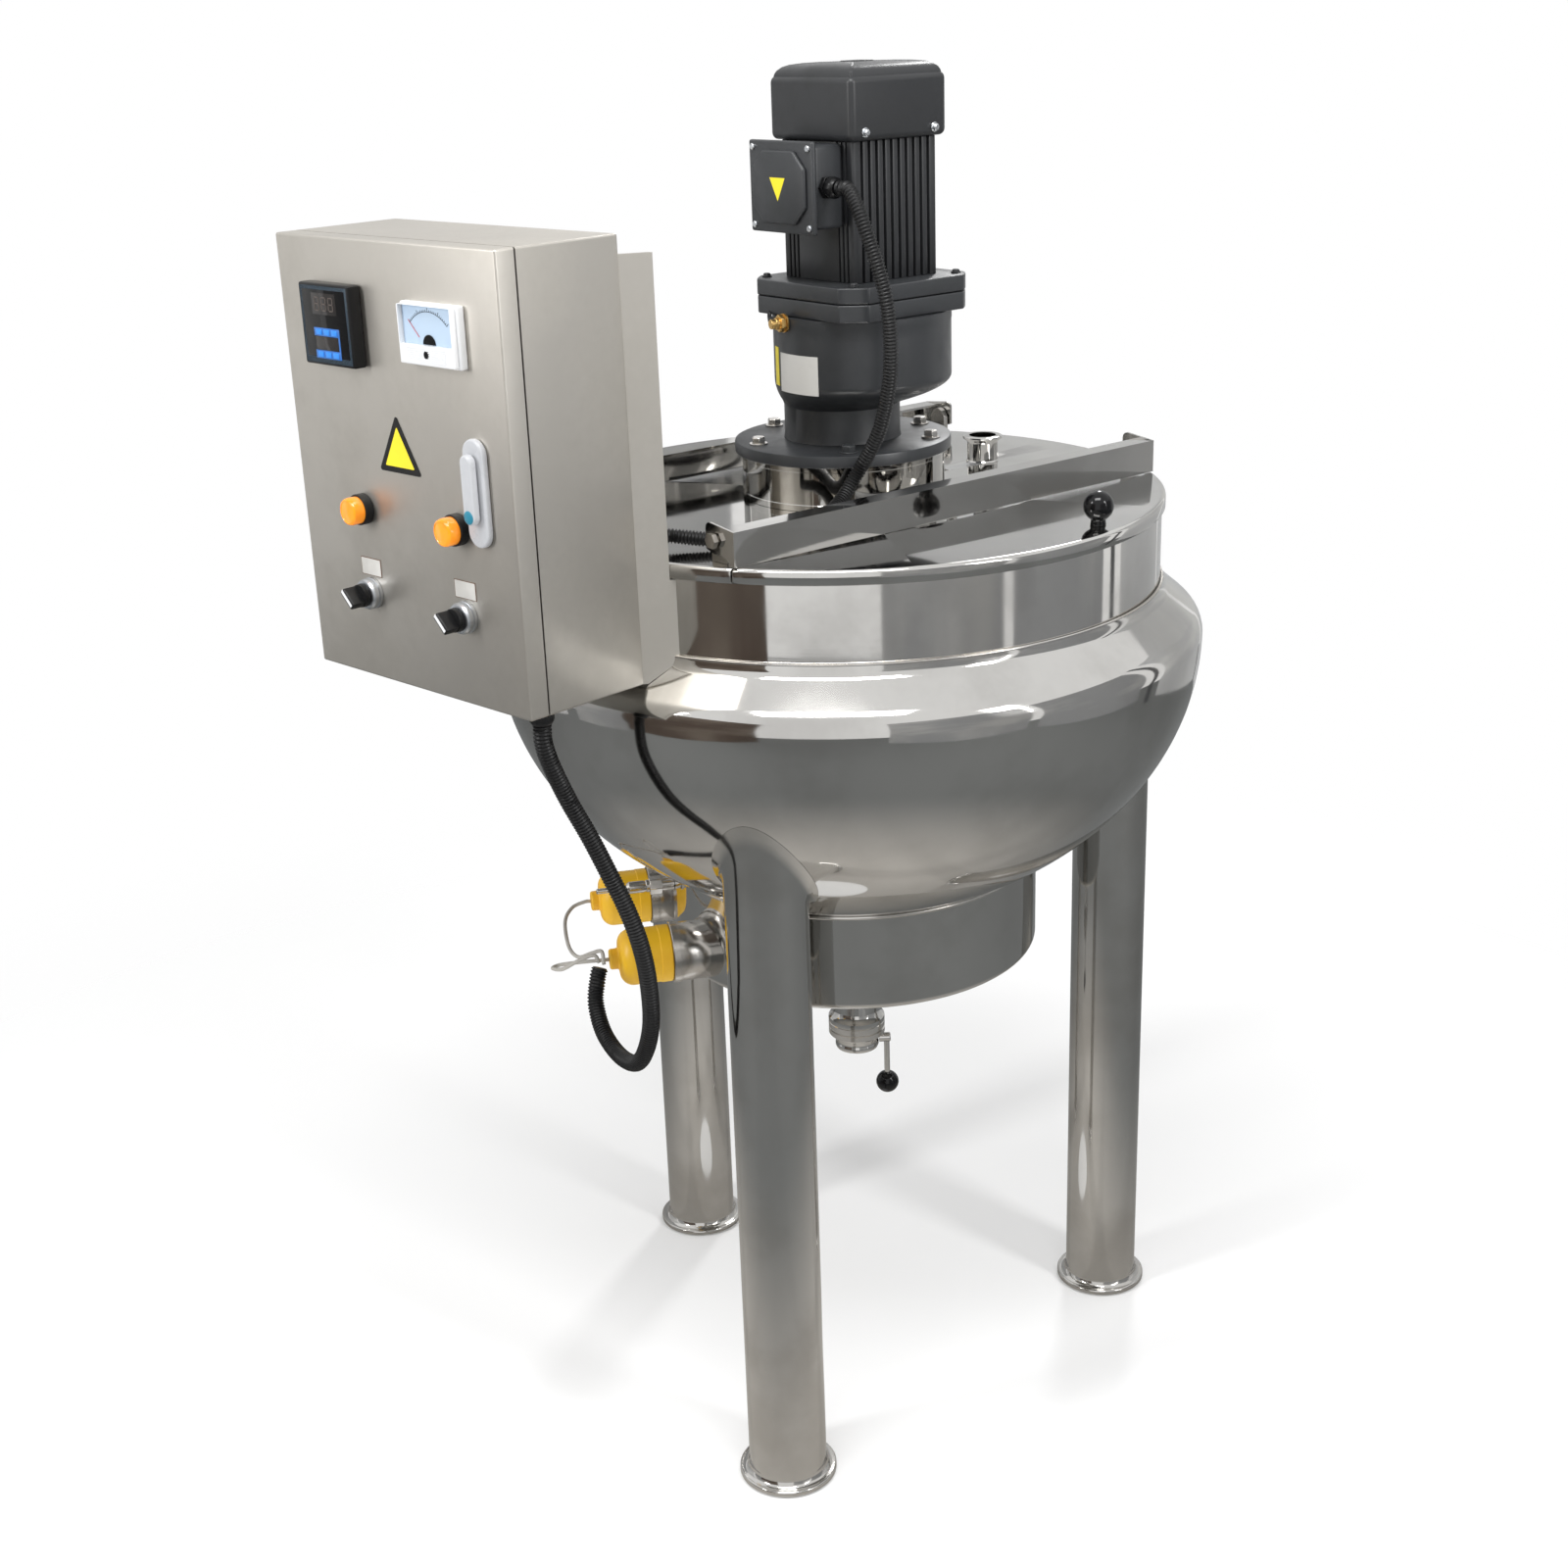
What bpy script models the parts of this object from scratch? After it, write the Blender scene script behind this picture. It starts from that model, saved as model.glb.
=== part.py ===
# Jacketed mixing kettle on three legs: a steel pot in a jacket with an electric heater drum,
# a lid with two hinged flaps, a gearmotor and a control cabinet on brackets.
# Metres, +Z up, the cabinet at the front, -Y. The pieces are placed from the kettle's axis, then moved
# back by KETTLE_Y, so that the origin is at the floor in the middle of everything but the conduits.
import math

import bmesh
import bpy
from mathutils import Matrix, Vector

KETTLE_Y = 0.08207
GAP = 0.0003  # left between pieces that touch
SHEET = 0.003  # wall of the pot, jacket, drum and lid
ROUND_STEPS = 40
SMALL_STEPS = 16

# Pot and jacket
POT_R = 0.327
POT_TOP = 0.9995
POT_DISH_TOP = 0.860
POT_DISH_DEPTH = 0.205
JACKET_REACH = 0.045  # how far the jacket stands out past the pot
JACKET_R = POT_R + JACKET_REACH
JACKET_WIDEST = POT_DISH_TOP
JACKET_DEPTH = 0.298
NECK_FILLET = 0.016
SHOULDER_FILLET = 0.030
NECK_SLOPE = 40.0
DRUM_R = 0.202
DRUM_LAP = 0.007
JACKET_END_R = DRUM_R - DRUM_LAP
DRUM_BOTTOM = 0.502
DRUM_EDGE = 0.008

# Legs
LEG_INSET = 0.0705  # of a leg's middle from the jacket's widest
LEG_CIRCLE = JACKET_R - LEG_INSET
LEG_R = 0.0415
FOOT_R = 0.052
FOOT_HEIGHT = 0.007
FOOT_FILLET = 0.008
LEG_ANGLES = {"leg_front": -56.6, "leg_right": 63.4, "leg_left": 183.4}

# Lid: a fixed bridge and two flaps that swing up on bars
LID_LAP = 0.0035
LID_R = POT_R + LID_LAP
LID_RISE = 0.0065
LID_TOP = POT_TOP + LID_RISE
LID_SKIRT = 0.0145
LID_EDGE = 0.004
BAR_X = 0.173
BAR_INSET = 0.0016
BAR_HALF = math.sqrt(LID_R**2 - BAR_X**2) - BAR_INSET
BAR_HEIGHT = 0.033
BAR_FLANGE = 0.022
BAR_SHEET = 0.0025
PIVOT_IN = 0.025
PIVOT_UP = 0.022
EAR_REACH = 0.014
PIN_R = 0.004
PIN_PLAY = 0.0005
LUG_THICK = 0.006
LUG_HALF = 0.011
LUG_PLAY = 0.0015
SEAM = 0.0015
KNOB_INSET = 0.0335
KNOB_AT = (LID_R - KNOB_INSET, 0.066)
KNOB_R = 0.0148
KNOB_UP = 0.018
KNOB_STEM_R = 0.0065
INLET_Y = 0.200
INLET_R = 0.0165
INLET_FLANGE_R = 0.0215
INLET_HEIGHT = 0.028
INLET_WALL = 0.002

# Gearmotor
PEDESTAL_R = 0.105
PEDESTAL_HEIGHT = 0.045
PEDESTAL_WALL = 0.004
FLANGE_R = 0.1115
FLANGE_THICK = 0.0125
NECK_R = 0.060
NECK_HEIGHT = 0.036
MOTOR_X = 0.034
HOUSING_R = 0.0897
HOUSING_TOP = 1.1945
TAPER_HEIGHT = 0.030
ADAPTER_R = 0.1035
ADAPTER_FLAT = 0.083
ADAPTER_TOP = 1.228
MOTOR_HALF = 0.0535
MOTOR_TOP = 1.359
FIN_DEPTH = 0.009
FIN_COUNT = 6
FIN_WIDTH = 0.0028
PANEL_HALF = 0.020
HOOD_HALF = 0.0612
HOOD_TOP = 1.418
HOOD_DOME = 0.012
HOOD_CORNER = 0.012
TERMINAL_W = 0.096
TERMINAL_H = 0.0855
TERMINAL_D = 0.036
TERMINAL_LID = 0.010
TERMINAL_Z = 1.319
TERMINAL_RIM = 0.012  # how far the lid stands out past the case, both sides together
TERMINAL_X = -0.005
PLUG_ANGLE = -98.0
PLUG_Z = 1.190
PLUG_R = 0.009

# Agitator
SHAFT_R = 0.0125
ANCHOR_CLEAR = 0.014
ANCHOR_R = 0.007
ANCHOR_TOP = 0.955
ARM_HEIGHTS = (0.790, 0.940)

# Outlet and its valve
OUTLET_R = 0.0255
OUTLET_WALL = 0.002
FERRULE_R = 0.032
OUTLET_END = 0.393
CLAMP_HEIGHT = 0.016
VALVE_R = 0.0247
VALVE_HEIGHT = 0.018
VALVE_ANGLE = 51.0
LEVER_HUB = 0.010
LEVER_REACH = 0.034
LEVER_ROD_R = 0.0033
LEVER_DROP = 0.046
LEVER_BALL_R = 0.013

# Heaters
HEATER_ANGLE = -117.0
HEATER_OFFSET = 0.080
HEATER_Z = 0.540
SOCKET_R = 0.0320
SOCKET_LENGTH = 0.028
HEATER_NUT_R = 0.0325
HEATER_NUT = 0.0085
CAP_R = 0.0305
CAP_LENGTH = 0.065
PROBE_Z = 0.585
PROBE_R = 0.007
PROBE_LENGTH = 0.085

# Cabinet, in its own frame: its back is y = 0, its floor z = 0 and its middle x = 0
CABINET_STAND = 0.0327  # of its back's middle from the pot's wall
CABINET_AT = (-0.0503, -POT_R - CABINET_STAND, 0.8935)
CABINET_TURN = 7.8
CABINET_W = 0.315
CABINET_H = 0.409
CABINET_D = 0.1147
CABINET_SHEET = 0.002
DOOR_D = 0.0205
DOOR_GAP = 0.0018
HINGE_R = 0.005
HINGE_LENGTH = 0.040
HINGE_INSET = 0.060
PLATE_INSET = 0.022
PLATE_STAND = 0.006
ARM_LEAF = 0.035
ARM_TOE = 31.0
ARM_REACH = 0.150
ARM_SHEET = 0.0025
ARM_DROP = 0.018  # of the arms' tops below the cabinet's

# Door fittings: across from the door's middle, and up from the cabinet's floor
METER_AT = (0.0725, 0.334)
METER_SIZE = (0.079, 0.054, 0.014)
CONTROLLER_AT = (-0.071, 0.333)
CONTROLLER_SIZE = (0.075, 0.073, 0.014)
REAR_DEPTH = 0.045
REAR_INSET = 0.005
SWITCH_X = (-0.0605, 0.0790)
LAMP_Z = 0.1645
SWITCH_Z = 0.084
LAMP_COLLAR_R = 0.0145
LAMP_COLLAR = 0.009
LAMP_LENS_R = 0.0128
LAMP_LENS = 0.012
SWITCH_BEZEL_R = 0.0148
SWITCH_BEZEL = 0.011
SWITCH_KNOB_R = 0.0112
SWITCH_KNOB = 0.020
SWITCH_POINTS = math.radians(45)  # the grips point up and to the left
DEVICE_REAR_R = 0.011
LOCK_AT = (0.1135, 0.201)
LOCK_W = 0.028
LOCK_H = 0.096
LOCK_D = 0.007
LOCK_LEVER_W = 0.015
LOCK_LEVER_H = 0.062
LOCK_LEVER_D = 0.008
LOCK_PIVOT = 0.028

# Glands and conduits
GLAND_R = 0.012
GLAND_LENGTH = 0.018
HEATER_GLAND_INSET = (0.0315, 0.0152)  # from the cabinet's right side and from its front edge
HEATER_GLAND_AT = (CABINET_W / 2 - HEATER_GLAND_INSET[0], HEATER_GLAND_INSET[1] - CABINET_D)
MOTOR_GLAND_INSET = 0.0525
MOTOR_GLAND_AT = (CABINET_W / 2 - MOTOR_GLAND_INSET, 0.129)
MOTOR_CONDUIT_R = 0.0072
HEATER_CONDUIT_R = 0.0088
LEAD_R = 0.0022

STEEL = ("polished_steel", (0.78, 0.77, 0.75), 0.12, 1.0)
BRUSHED = ("brushed_steel", (0.60, 0.58, 0.55), 0.38, 1.0)
DARK = ("dark_paint", (0.055, 0.058, 0.062), 0.45, 0.0)
BLACK = ("black_plastic", (0.012, 0.012, 0.013), 0.35, 0.0)
YELLOW = ("yellow_plastic", (0.85, 0.50, 0.02), 0.45, 0.0)
AMBER = ("amber_lens", (0.95, 0.30, 0.01), 0.25, 0.0)
WHITE = ("clear_plastic", (0.80, 0.83, 0.85), 0.25, 0.0)
BRASS = ("brass", (0.72, 0.48, 0.20), 0.30, 1.0)
GREY = ("grey_lead", (0.45, 0.44, 0.42), 0.60, 0.0)


def clear_scene():
    for old in list(bpy.data.objects):
        bpy.data.objects.remove(old, do_unlink=True)


def collection(name):
    made = bpy.data.collections.new(name)
    bpy.context.scene.collection.children.link(made)
    return made


def material(spec):
    name, colour, roughness, metallic = spec
    found = bpy.data.materials.get(name)
    if found:
        return found
    made = bpy.data.materials.new(name)
    made.use_nodes = True
    shader = made.node_tree.nodes["Principled BSDF"]
    shader.inputs["Base Color"].default_value = (*colour, 1.0)
    shader.inputs["Roughness"].default_value = roughness
    shader.inputs["Metallic"].default_value = metallic
    made.diffuse_color = (*colour, 1.0)
    return made


def place(name, data, spec, at=(0, 0, 0), turn=None, parent=None):
    obj = bpy.data.objects.new(name, data)
    if spec:
        data.materials.append(material(spec))
        parts.objects.link(obj)
    else:
        cutters.objects.link(obj)
        obj.hide_render = True
        obj.display_type = "WIRE"
    obj.location = at
    if turn:
        obj.rotation_mode = "QUATERNION"
        obj.rotation_quaternion = turn
    if parent:
        obj.parent = parent
    return obj


def towards(axis):
    return Vector((0, 0, 1)).rotation_difference(Vector(axis))


def compass(degrees, length=1.0, z=0.0):
    angle = math.radians(degrees)
    return Vector((length * math.cos(angle), length * math.sin(angle), z))


def arc(centre, radius, start, end, count):
    # Points on an arc, with the angles in degrees.
    points = []
    for i in range(count + 1):
        angle = math.radians(start + (end - start) * i / count)
        x = centre[0] + radius * math.cos(angle)
        points.append((x, centre[1] + radius * math.sin(angle)))
    return points


def turned(name, profile, spec, at=(0, 0, 0), axis=(0, 0, 1), steps=ROUND_STEPS, wall=0.0, loop=False,
           parent=None):
    # A profile of (radius, height) points, outer side running down, turned round its axis.
    mesh = bpy.data.meshes.new(name)
    edges = [(i, i + 1) for i in range(len(profile) - 1)]
    if loop:
        edges.append((len(profile) - 1, 0))
    mesh.from_pydata([(r, 0.0, z) for r, z in profile], edges, [])
    obj = place(name, mesh, spec, at, towards(axis), parent)
    screw = obj.modifiers.new("Turn", "SCREW")
    screw.steps = steps
    screw.render_steps = steps
    screw.use_merge_vertices = True
    screw.merge_threshold = 0.00001
    screw.use_smooth_shade = True
    if wall:
        shell = obj.modifiers.new("Wall", "SOLIDIFY")
        shell.thickness = wall
        shell.offset = -1
        shell.use_even_offset = True
    return obj


def rod(name, radius, length, spec, at=(0, 0, 0), axis=(0, 0, 1), steps=SMALL_STEPS, edge=0.0, parent=None):
    # A solid cylinder from its foot at 'at' along the axis, with both its edges chamfered.
    profile = [(0, length), (radius - edge, length), (radius, length - edge), (radius, edge),
               (radius - edge, 0), (0, 0)]
    if not edge:
        profile = [(0, length), (radius, length), (radius, 0), (0, 0)]
    return turned(name, profile, spec, at, axis, steps, parent=parent)


def ring(name, outer, inner, length, spec, at=(0, 0, 0), axis=(0, 0, 1), steps=ROUND_STEPS, parent=None):
    profile = [(inner, length), (outer, length), (outer, 0), (inner, 0)]
    return turned(name, profile, spec, at, axis, steps, loop=True, parent=parent)


def box(name, size, centre, spec, bevel=0.0, segments=2, upright=False, parent=None):
    bm = bmesh.new()
    bmesh.ops.create_cube(bm, size=1.0)
    bmesh.ops.scale(bm, vec=size, verts=bm.verts)
    if upright and bevel:
        standing = [e for e in bm.edges if abs(e.verts[0].co.z - e.verts[1].co.z) > size[2] / 2]
        bmesh.ops.bevel(bm, geom=standing, offset=bevel, segments=segments, affect="EDGES", profile=0.5)
    mesh = bpy.data.meshes.new(name)
    bm.to_mesh(mesh)
    bm.free()
    obj = place(name, mesh, spec, centre, parent=parent)
    if bevel and not upright:
        soft = obj.modifiers.new("Edges", "BEVEL")
        soft.width = bevel
        soft.segments = segments
    return obj


def tray(name, size, centre, open_face, wall, spec, parent=None):
    # A box of sheet with one side open; open_face is that side's outward direction along Y.
    bm = bmesh.new()
    bmesh.ops.create_cube(bm, size=1.0)
    bmesh.ops.scale(bm, vec=size, verts=bm.verts)
    gone = [f for f in bm.faces if f.normal.y * open_face > 0.5]
    bmesh.ops.delete(bm, geom=gone, context="FACES")
    mesh = bpy.data.meshes.new(name)
    bm.to_mesh(mesh)
    bm.free()
    obj = place(name, mesh, spec, centre, parent=parent)
    shell = obj.modifiers.new("Wall", "SOLIDIFY")
    shell.thickness = wall
    shell.offset = -1
    shell.use_even_offset = True
    return obj


def slab(name, outline, low, high, spec, at=(0, 0, 0), turn=None, parent=None):
    # A flat outline in its own XY plane, extruded from low to high.
    bm = bmesh.new()
    face = bm.faces.new([bm.verts.new((x, y, low)) for x, y in outline])
    if face.normal.z > 0:
        face.normal_flip()
    grown = bmesh.ops.extrude_face_region(bm, geom=[face])
    moved = [v for v in grown["geom"] if isinstance(v, bmesh.types.BMVert)]
    bmesh.ops.translate(bm, vec=(0, 0, high - low), verts=moved)
    bmesh.ops.recalc_face_normals(bm, faces=bm.faces)
    mesh = bpy.data.meshes.new(name)
    bm.to_mesh(mesh)
    bm.free()
    return place(name, mesh, spec, at, turn, parent)


def tube(name, points, radius, spec, sides=2):
    curve = bpy.data.curves.new(name, "CURVE")
    curve.dimensions = "3D"
    curve.bevel_depth = radius
    curve.bevel_resolution = sides
    curve.use_fill_caps = True
    spline = curve.splines.new("POLY")
    spline.points.add(len(points) - 1)
    for point, co in zip(spline.points, points):
        point.co = (*co, 1.0)
    return place(name, curve, spec)


def smooth_path(points, spacing):
    # Catmull-Rom through the points, read at an even spacing.
    ends = [Vector(p) for p in points]
    ends = [ends[0] * 2 - ends[1], *ends, ends[-1] * 2 - ends[-2]]
    fine = []
    for a, b, c, d in zip(ends, ends[1:], ends[2:], ends[3:]):
        for i in range(24):
            t = i / 24
            fine.append(0.5 * (2 * b + (c - a) * t + (2 * a - 5 * b + 4 * c - d) * t * t
                               + (3 * b - a - 3 * c + d) * t * t * t))
    fine.append(ends[-2])
    lengths = [0.0]
    for a, b in zip(fine, fine[1:]):
        lengths.append(lengths[-1] + (b - a).length)
    count = max(2, round(lengths[-1] / spacing))
    path = []
    k = 0
    for i in range(count + 1):
        wanted = lengths[-1] * i / count
        while k < len(fine) - 2 and lengths[k + 1] < wanted:
            k += 1
        share = (wanted - lengths[k]) / (lengths[k + 1] - lengths[k])
        path.append(fine[k].lerp(fine[k + 1], share))
    return path


def as_mesh(obj):
    # A curve made a mesh with its caps welded, so that it can be joined or cut.
    bpy.context.view_layer.update()
    graph = bpy.context.evaluated_depsgraph_get()
    mesh = bpy.data.meshes.new_from_object(obj.evaluated_get(graph))
    bm = bmesh.new()
    bm.from_mesh(mesh)
    bmesh.ops.remove_doubles(bm, verts=bm.verts, dist=0.00001)
    bm.to_mesh(mesh)
    bm.free()
    name = obj.name
    kept = obj.matrix_world.copy()
    spec = obj.data.materials[0] if obj.data.materials else None
    owner = obj.users_collection[0]
    bpy.data.objects.remove(obj, do_unlink=True)
    made = bpy.data.objects.new(name, mesh)
    if spec and not mesh.materials:
        mesh.materials.append(spec)
    owner.objects.link(made)
    made.matrix_world = kept
    return made


def combine(obj, other, how):
    # Cuts, joins or keeps the common part; the other object becomes a hidden helper.
    change = obj.modifiers.new(how.title(), "BOOLEAN")
    change.operation = how
    change.object = other
    if other.name in parts.objects:
        parts.objects.unlink(other)
        cutters.objects.link(other)
    other.hide_render = True
    other.display_type = "WIRE"


def jacket_outline(grow=0.0):
    # The jacket's outer surface from the neck down: fillet, slope, shoulder and dish.
    slope = math.radians(NECK_SLOPE)
    shoulder = (JACKET_R - SHOULDER_FILLET, JACKET_WIDEST)
    neck_x = POT_R + GAP + SHEET + NECK_FILLET
    line_x = shoulder[0] + SHOULDER_FILLET * math.sin(slope)
    line_z = shoulder[1] + SHOULDER_FILLET * math.cos(slope)
    start_x = neck_x - NECK_FILLET * math.sin(slope)
    neck_z = line_z + (line_x - start_x) * math.tan(slope) + NECK_FILLET * math.cos(slope)
    points = arc((neck_x, neck_z), NECK_FILLET - grow, 180, 270 - NECK_SLOPE, 5)
    points += arc(shoulder, SHOULDER_FILLET + grow, 90 - NECK_SLOPE, 0, 5)
    last = math.degrees(math.acos(JACKET_END_R / JACKET_R))
    count = 12
    for i in range(1, count + 1):
        angle = math.radians(last * i / count)
        radius = (JACKET_R + grow) * math.cos(angle)
        points.append((radius, JACKET_WIDEST - (JACKET_DEPTH + grow) * math.sin(angle)))
    return points


def jacket_height(radius):
    return JACKET_WIDEST - JACKET_DEPTH * math.sqrt(1 - (radius / JACKET_R) ** 2)


def kettle_clearance():
    # Everything inside the pot, jacket and lid, as one solid that trims what stands against them.
    above = LID_TOP + 0.6
    lid = LID_R + 0.0012
    wall = POT_R + GAP
    profile = [(0, above), (lid, above), (lid, LID_TOP - LID_SKIRT - 0.001)]
    profile.append((wall, LID_TOP - LID_SKIRT - 0.001))
    outline = jacket_outline(2 * GAP)
    profile.append((wall, outline[0][1] + 0.0005))
    return turned("kettle_clearance", profile + outline + [(0, outline[-1][1])], None)


def make_pot():
    outline = [(POT_R, POT_TOP - GAP - SHEET)]
    for i in range(10):
        angle = math.radians(90 * i / 9)
        radius = POT_R * math.cos(angle)
        if radius > OUTLET_R:
            outline.append((radius, POT_DISH_TOP - POT_DISH_DEPTH * math.sin(angle)))
    last = math.acos((OUTLET_R - OUTLET_WALL) / POT_R)
    outline.append((OUTLET_R - OUTLET_WALL, POT_DISH_TOP - POT_DISH_DEPTH * math.sin(last)))
    turned("inner_pot", outline, STEEL, wall=SHEET)


def make_jacket():
    turned("jacket_shell", jacket_outline(), STEEL, wall=SHEET)


def make_drum():
    top = jacket_height(DRUM_R - SHEET) - 2 * GAP
    corner = (DRUM_R - DRUM_EDGE, DRUM_BOTTOM + DRUM_EDGE)
    outline = [(DRUM_R, top)] + arc(corner, DRUM_EDGE, 0, -90, 3) + [(OUTLET_R + GAP, DRUM_BOTTOM)]
    turned("heater_drum", outline, STEEL, wall=SHEET)


def make_legs(trim):
    for name, angle in LEG_ANGLES.items():
        top = JACKET_WIDEST
        inner = LEG_R - SHEET
        flare = arc((LEG_R + FOOT_FILLET, FOOT_HEIGHT + FOOT_FILLET), FOOT_FILLET, 180, 270, 2)
        profile = [(0, FOOT_HEIGHT), (inner, FOOT_HEIGHT), (inner, top), (LEG_R, top)] + flare
        profile += [(FOOT_R, FOOT_HEIGHT), (FOOT_R, 0), (0, 0)]
        leg = turned(name, profile, STEEL, compass(angle, LEG_CIRCLE), steps=24)
        combine(leg, trim, "DIFFERENCE")


def lid_blank(name):
    outline = [(0, LID_TOP)] + arc((LID_R - LID_EDGE, LID_TOP - LID_EDGE), LID_EDGE, 90, 0, 2)
    outline.append((LID_R, LID_TOP - LID_SKIRT))
    return turned(name, outline, STEEL, wall=SHEET)


def make_lid():
    bridge = lid_blank("lid_bridge")
    keep = box("bridge_keep", (2 * (BAR_X - SEAM), 1, 0.2), (0, 0, LID_TOP), None)
    combine(bridge, keep, "INTERSECT")
    hole = rod("shaft_hole", SHAFT_R + 0.004, 0.1, None, (0, 0, LID_TOP - 0.05))
    combine(bridge, hole, "DIFFERENCE")
    mouth = rod("inlet_hole", INLET_R - INLET_WALL, 0.1, None, (0, INLET_Y, LID_TOP - 0.05))
    combine(bridge, mouth, "DIFFERENCE")
    for side, sign in (("right", 1), ("left", -1)):
        flap = lid_blank("lid_flap_" + side)
        half = box("flap_keep_" + side, (1, 1, 0.2), (sign * (BAR_X + 0.5), 0, LID_TOP), None)
        combine(flap, half, "INTERSECT")
        make_bar(side, sign)
        make_knob(side, sign)


def make_bar(side, sign):
    # A bent sheet bar on the flap's straight edge, with an ear at each end that holds the pivot.
    foot = LID_TOP + GAP
    top = foot + BAR_HEIGHT
    section = [(BAR_X, foot), (BAR_X, top), (BAR_X - BAR_FLANGE, top),
               (BAR_X - BAR_FLANGE, top - BAR_SHEET), (BAR_X - BAR_SHEET, top - BAR_SHEET),
               (BAR_X - BAR_SHEET, foot)]
    pivot = (BAR_X - PIVOT_IN, LID_TOP + PIVOT_UP)
    standing = Matrix(((1, 0, 0), (0, 0, -1), (0, 1, 0))).to_quaternion()
    shape = [(sign * (x + BAR_SHEET), z) for x, z in section]
    bar = slab("flap_bar_" + side, shape, -BAR_HALF, BAR_HALF, STEEL, (0, 0, 0), standing)
    ear = [(BAR_X + BAR_SHEET, foot), (BAR_X + BAR_SHEET, top), (pivot[0] - EAR_REACH + 0.006, top + 0.004)]
    ear += [(x, z) for x, z in arc((pivot[0] - EAR_REACH + 0.006, top - 0.002), 0.006, 90, 180, 3)]
    ear += [(pivot[0] - EAR_REACH, pivot[1] - 0.010), (pivot[0] - 0.004, pivot[1] - 0.013)]
    ear += [(BAR_X - 0.010, foot + 0.006), (BAR_X - 0.004, foot)]
    shape = [(sign * x, z) for x, z in ear]
    for end, y in (("a", -BAR_HALF), ("b", BAR_HALF - BAR_SHEET)):
        plate = slab("ear_" + side + end, shape, -y - BAR_SHEET, -y, None, (0, 0, 0), standing)
        combine(bar, plate, "UNION")
    hole = rod("pin_hole_" + side, PIN_R + PIN_PLAY, 1.0, None, (sign * pivot[0], -0.5, pivot[1]), (0, 1, 0))
    combine(bar, hole, "DIFFERENCE")
    make_lugs(side, sign, pivot)


def make_lugs(side, sign, pivot):
    # Upright lugs on the bridge, inside the ears, each with the pin that its ear turns on.
    for end, way in (("front", -1), ("back", 1)):
        inner = BAR_HALF - BAR_SHEET - LUG_PLAY - LUG_THICK
        low = LID_TOP + GAP
        outline = [(-LUG_HALF, low)] + [(LUG_HALF, low), (LUG_HALF, pivot[1] - 0.001)]
        outline += arc((0, pivot[1] - 0.001), LUG_HALF - 0.002, 0, 180, 8)[1:-1]
        outline += [(-LUG_HALF, pivot[1] - 0.001)]
        standing = Matrix(((1, 0, 0), (0, 0, -1), (0, 1, 0))).to_quaternion()
        start = way * inner if way > 0 else -inner - LUG_THICK
        lug = slab(f"hinge_lug_{side}_{end}", outline, -start - LUG_THICK, -start, STEEL,
                   (sign * pivot[0], 0, 0), standing)
        length = LUG_THICK + LUG_PLAY + BAR_SHEET + LUG_PLAY
        pin = rod(f"pin_{side}_{end}", PIN_R, length, None,
                  (sign * pivot[0], way * (inner + 0.001), pivot[1]), (0, way, 0))
        combine(lug, pin, "UNION")
        head = rod(f"pin_head_{side}_{end}", 0.0075, 0.005, None,
                   (sign * pivot[0], way * (BAR_HALF + LUG_PLAY), pivot[1]), (0, way, 0), steps=6)
        combine(lug, head, "UNION")


def make_knob(side, sign):
    x, y = KNOB_AT
    foot = LID_TOP + GAP
    ball = turned("flap_knob_" + side, knob_outline(), BLACK, (sign * x, y * sign, foot), steps=SMALL_STEPS)
    return ball


def knob_outline():
    low = math.degrees(math.asin(KNOB_STEM_R / KNOB_R))
    profile = arc((0, KNOB_UP), KNOB_R, 90, -90 + low, 8)
    profile[0] = (0, KNOB_UP + KNOB_R)
    return profile + [(KNOB_STEM_R, 0), (0, 0)]


def make_inlet():
    z = LID_TOP + GAP
    inner = INLET_R - INLET_WALL
    top = INLET_HEIGHT
    rim = 0.004
    profile = [(inner, top), (INLET_FLANGE_R, top), (INLET_FLANGE_R, top - rim), (INLET_R, top - rim - 0.003),
               (INLET_R, 0), (inner, 0)]
    turned("inlet_ferrule", profile, STEEL, (0, INLET_Y, z), steps=24, loop=True)


def make_pedestal():
    z = LID_TOP + GAP
    ring("motor_pedestal", PEDESTAL_R, PEDESTAL_R - PEDESTAL_WALL, PEDESTAL_HEIGHT, STEEL, (0, 0, z))


def flange_foot():
    return LID_TOP + PEDESTAL_HEIGHT + 2 * GAP


def make_flange():
    bore = SHAFT_R + 0.002
    profile = [(bore, FLANGE_THICK), (FLANGE_R - 0.002, FLANGE_THICK), (FLANGE_R, FLANGE_THICK - 0.002),
               (FLANGE_R, 0), (bore, 0)]
    turned("mounting_flange", profile, DARK, (0, 0, flange_foot()), loop=True)


def lofted(name, rings, spec, steps):
    # Stacked circles of (centre x, height, radius), skinned and closed at both ends.
    bm = bmesh.new()
    loops = []
    for x, z, r in rings:
        made = []
        for i in range(steps):
            angle = 2 * math.pi * i / steps
            made.append(bm.verts.new((x + r * math.cos(angle), r * math.sin(angle), z)))
        loops.append(made)
    for low, high in zip(loops, loops[1:]):
        for i in range(steps):
            j = (i + 1) % steps
            bm.faces.new((low[i], low[j], high[j], high[i]))
    bm.faces.new(list(reversed(loops[0])))
    bm.faces.new(loops[-1])
    bmesh.ops.recalc_face_normals(bm, faces=bm.faces)
    mesh = bpy.data.meshes.new(name)
    bm.to_mesh(mesh)
    bm.free()
    return place(name, mesh, spec)


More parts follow.
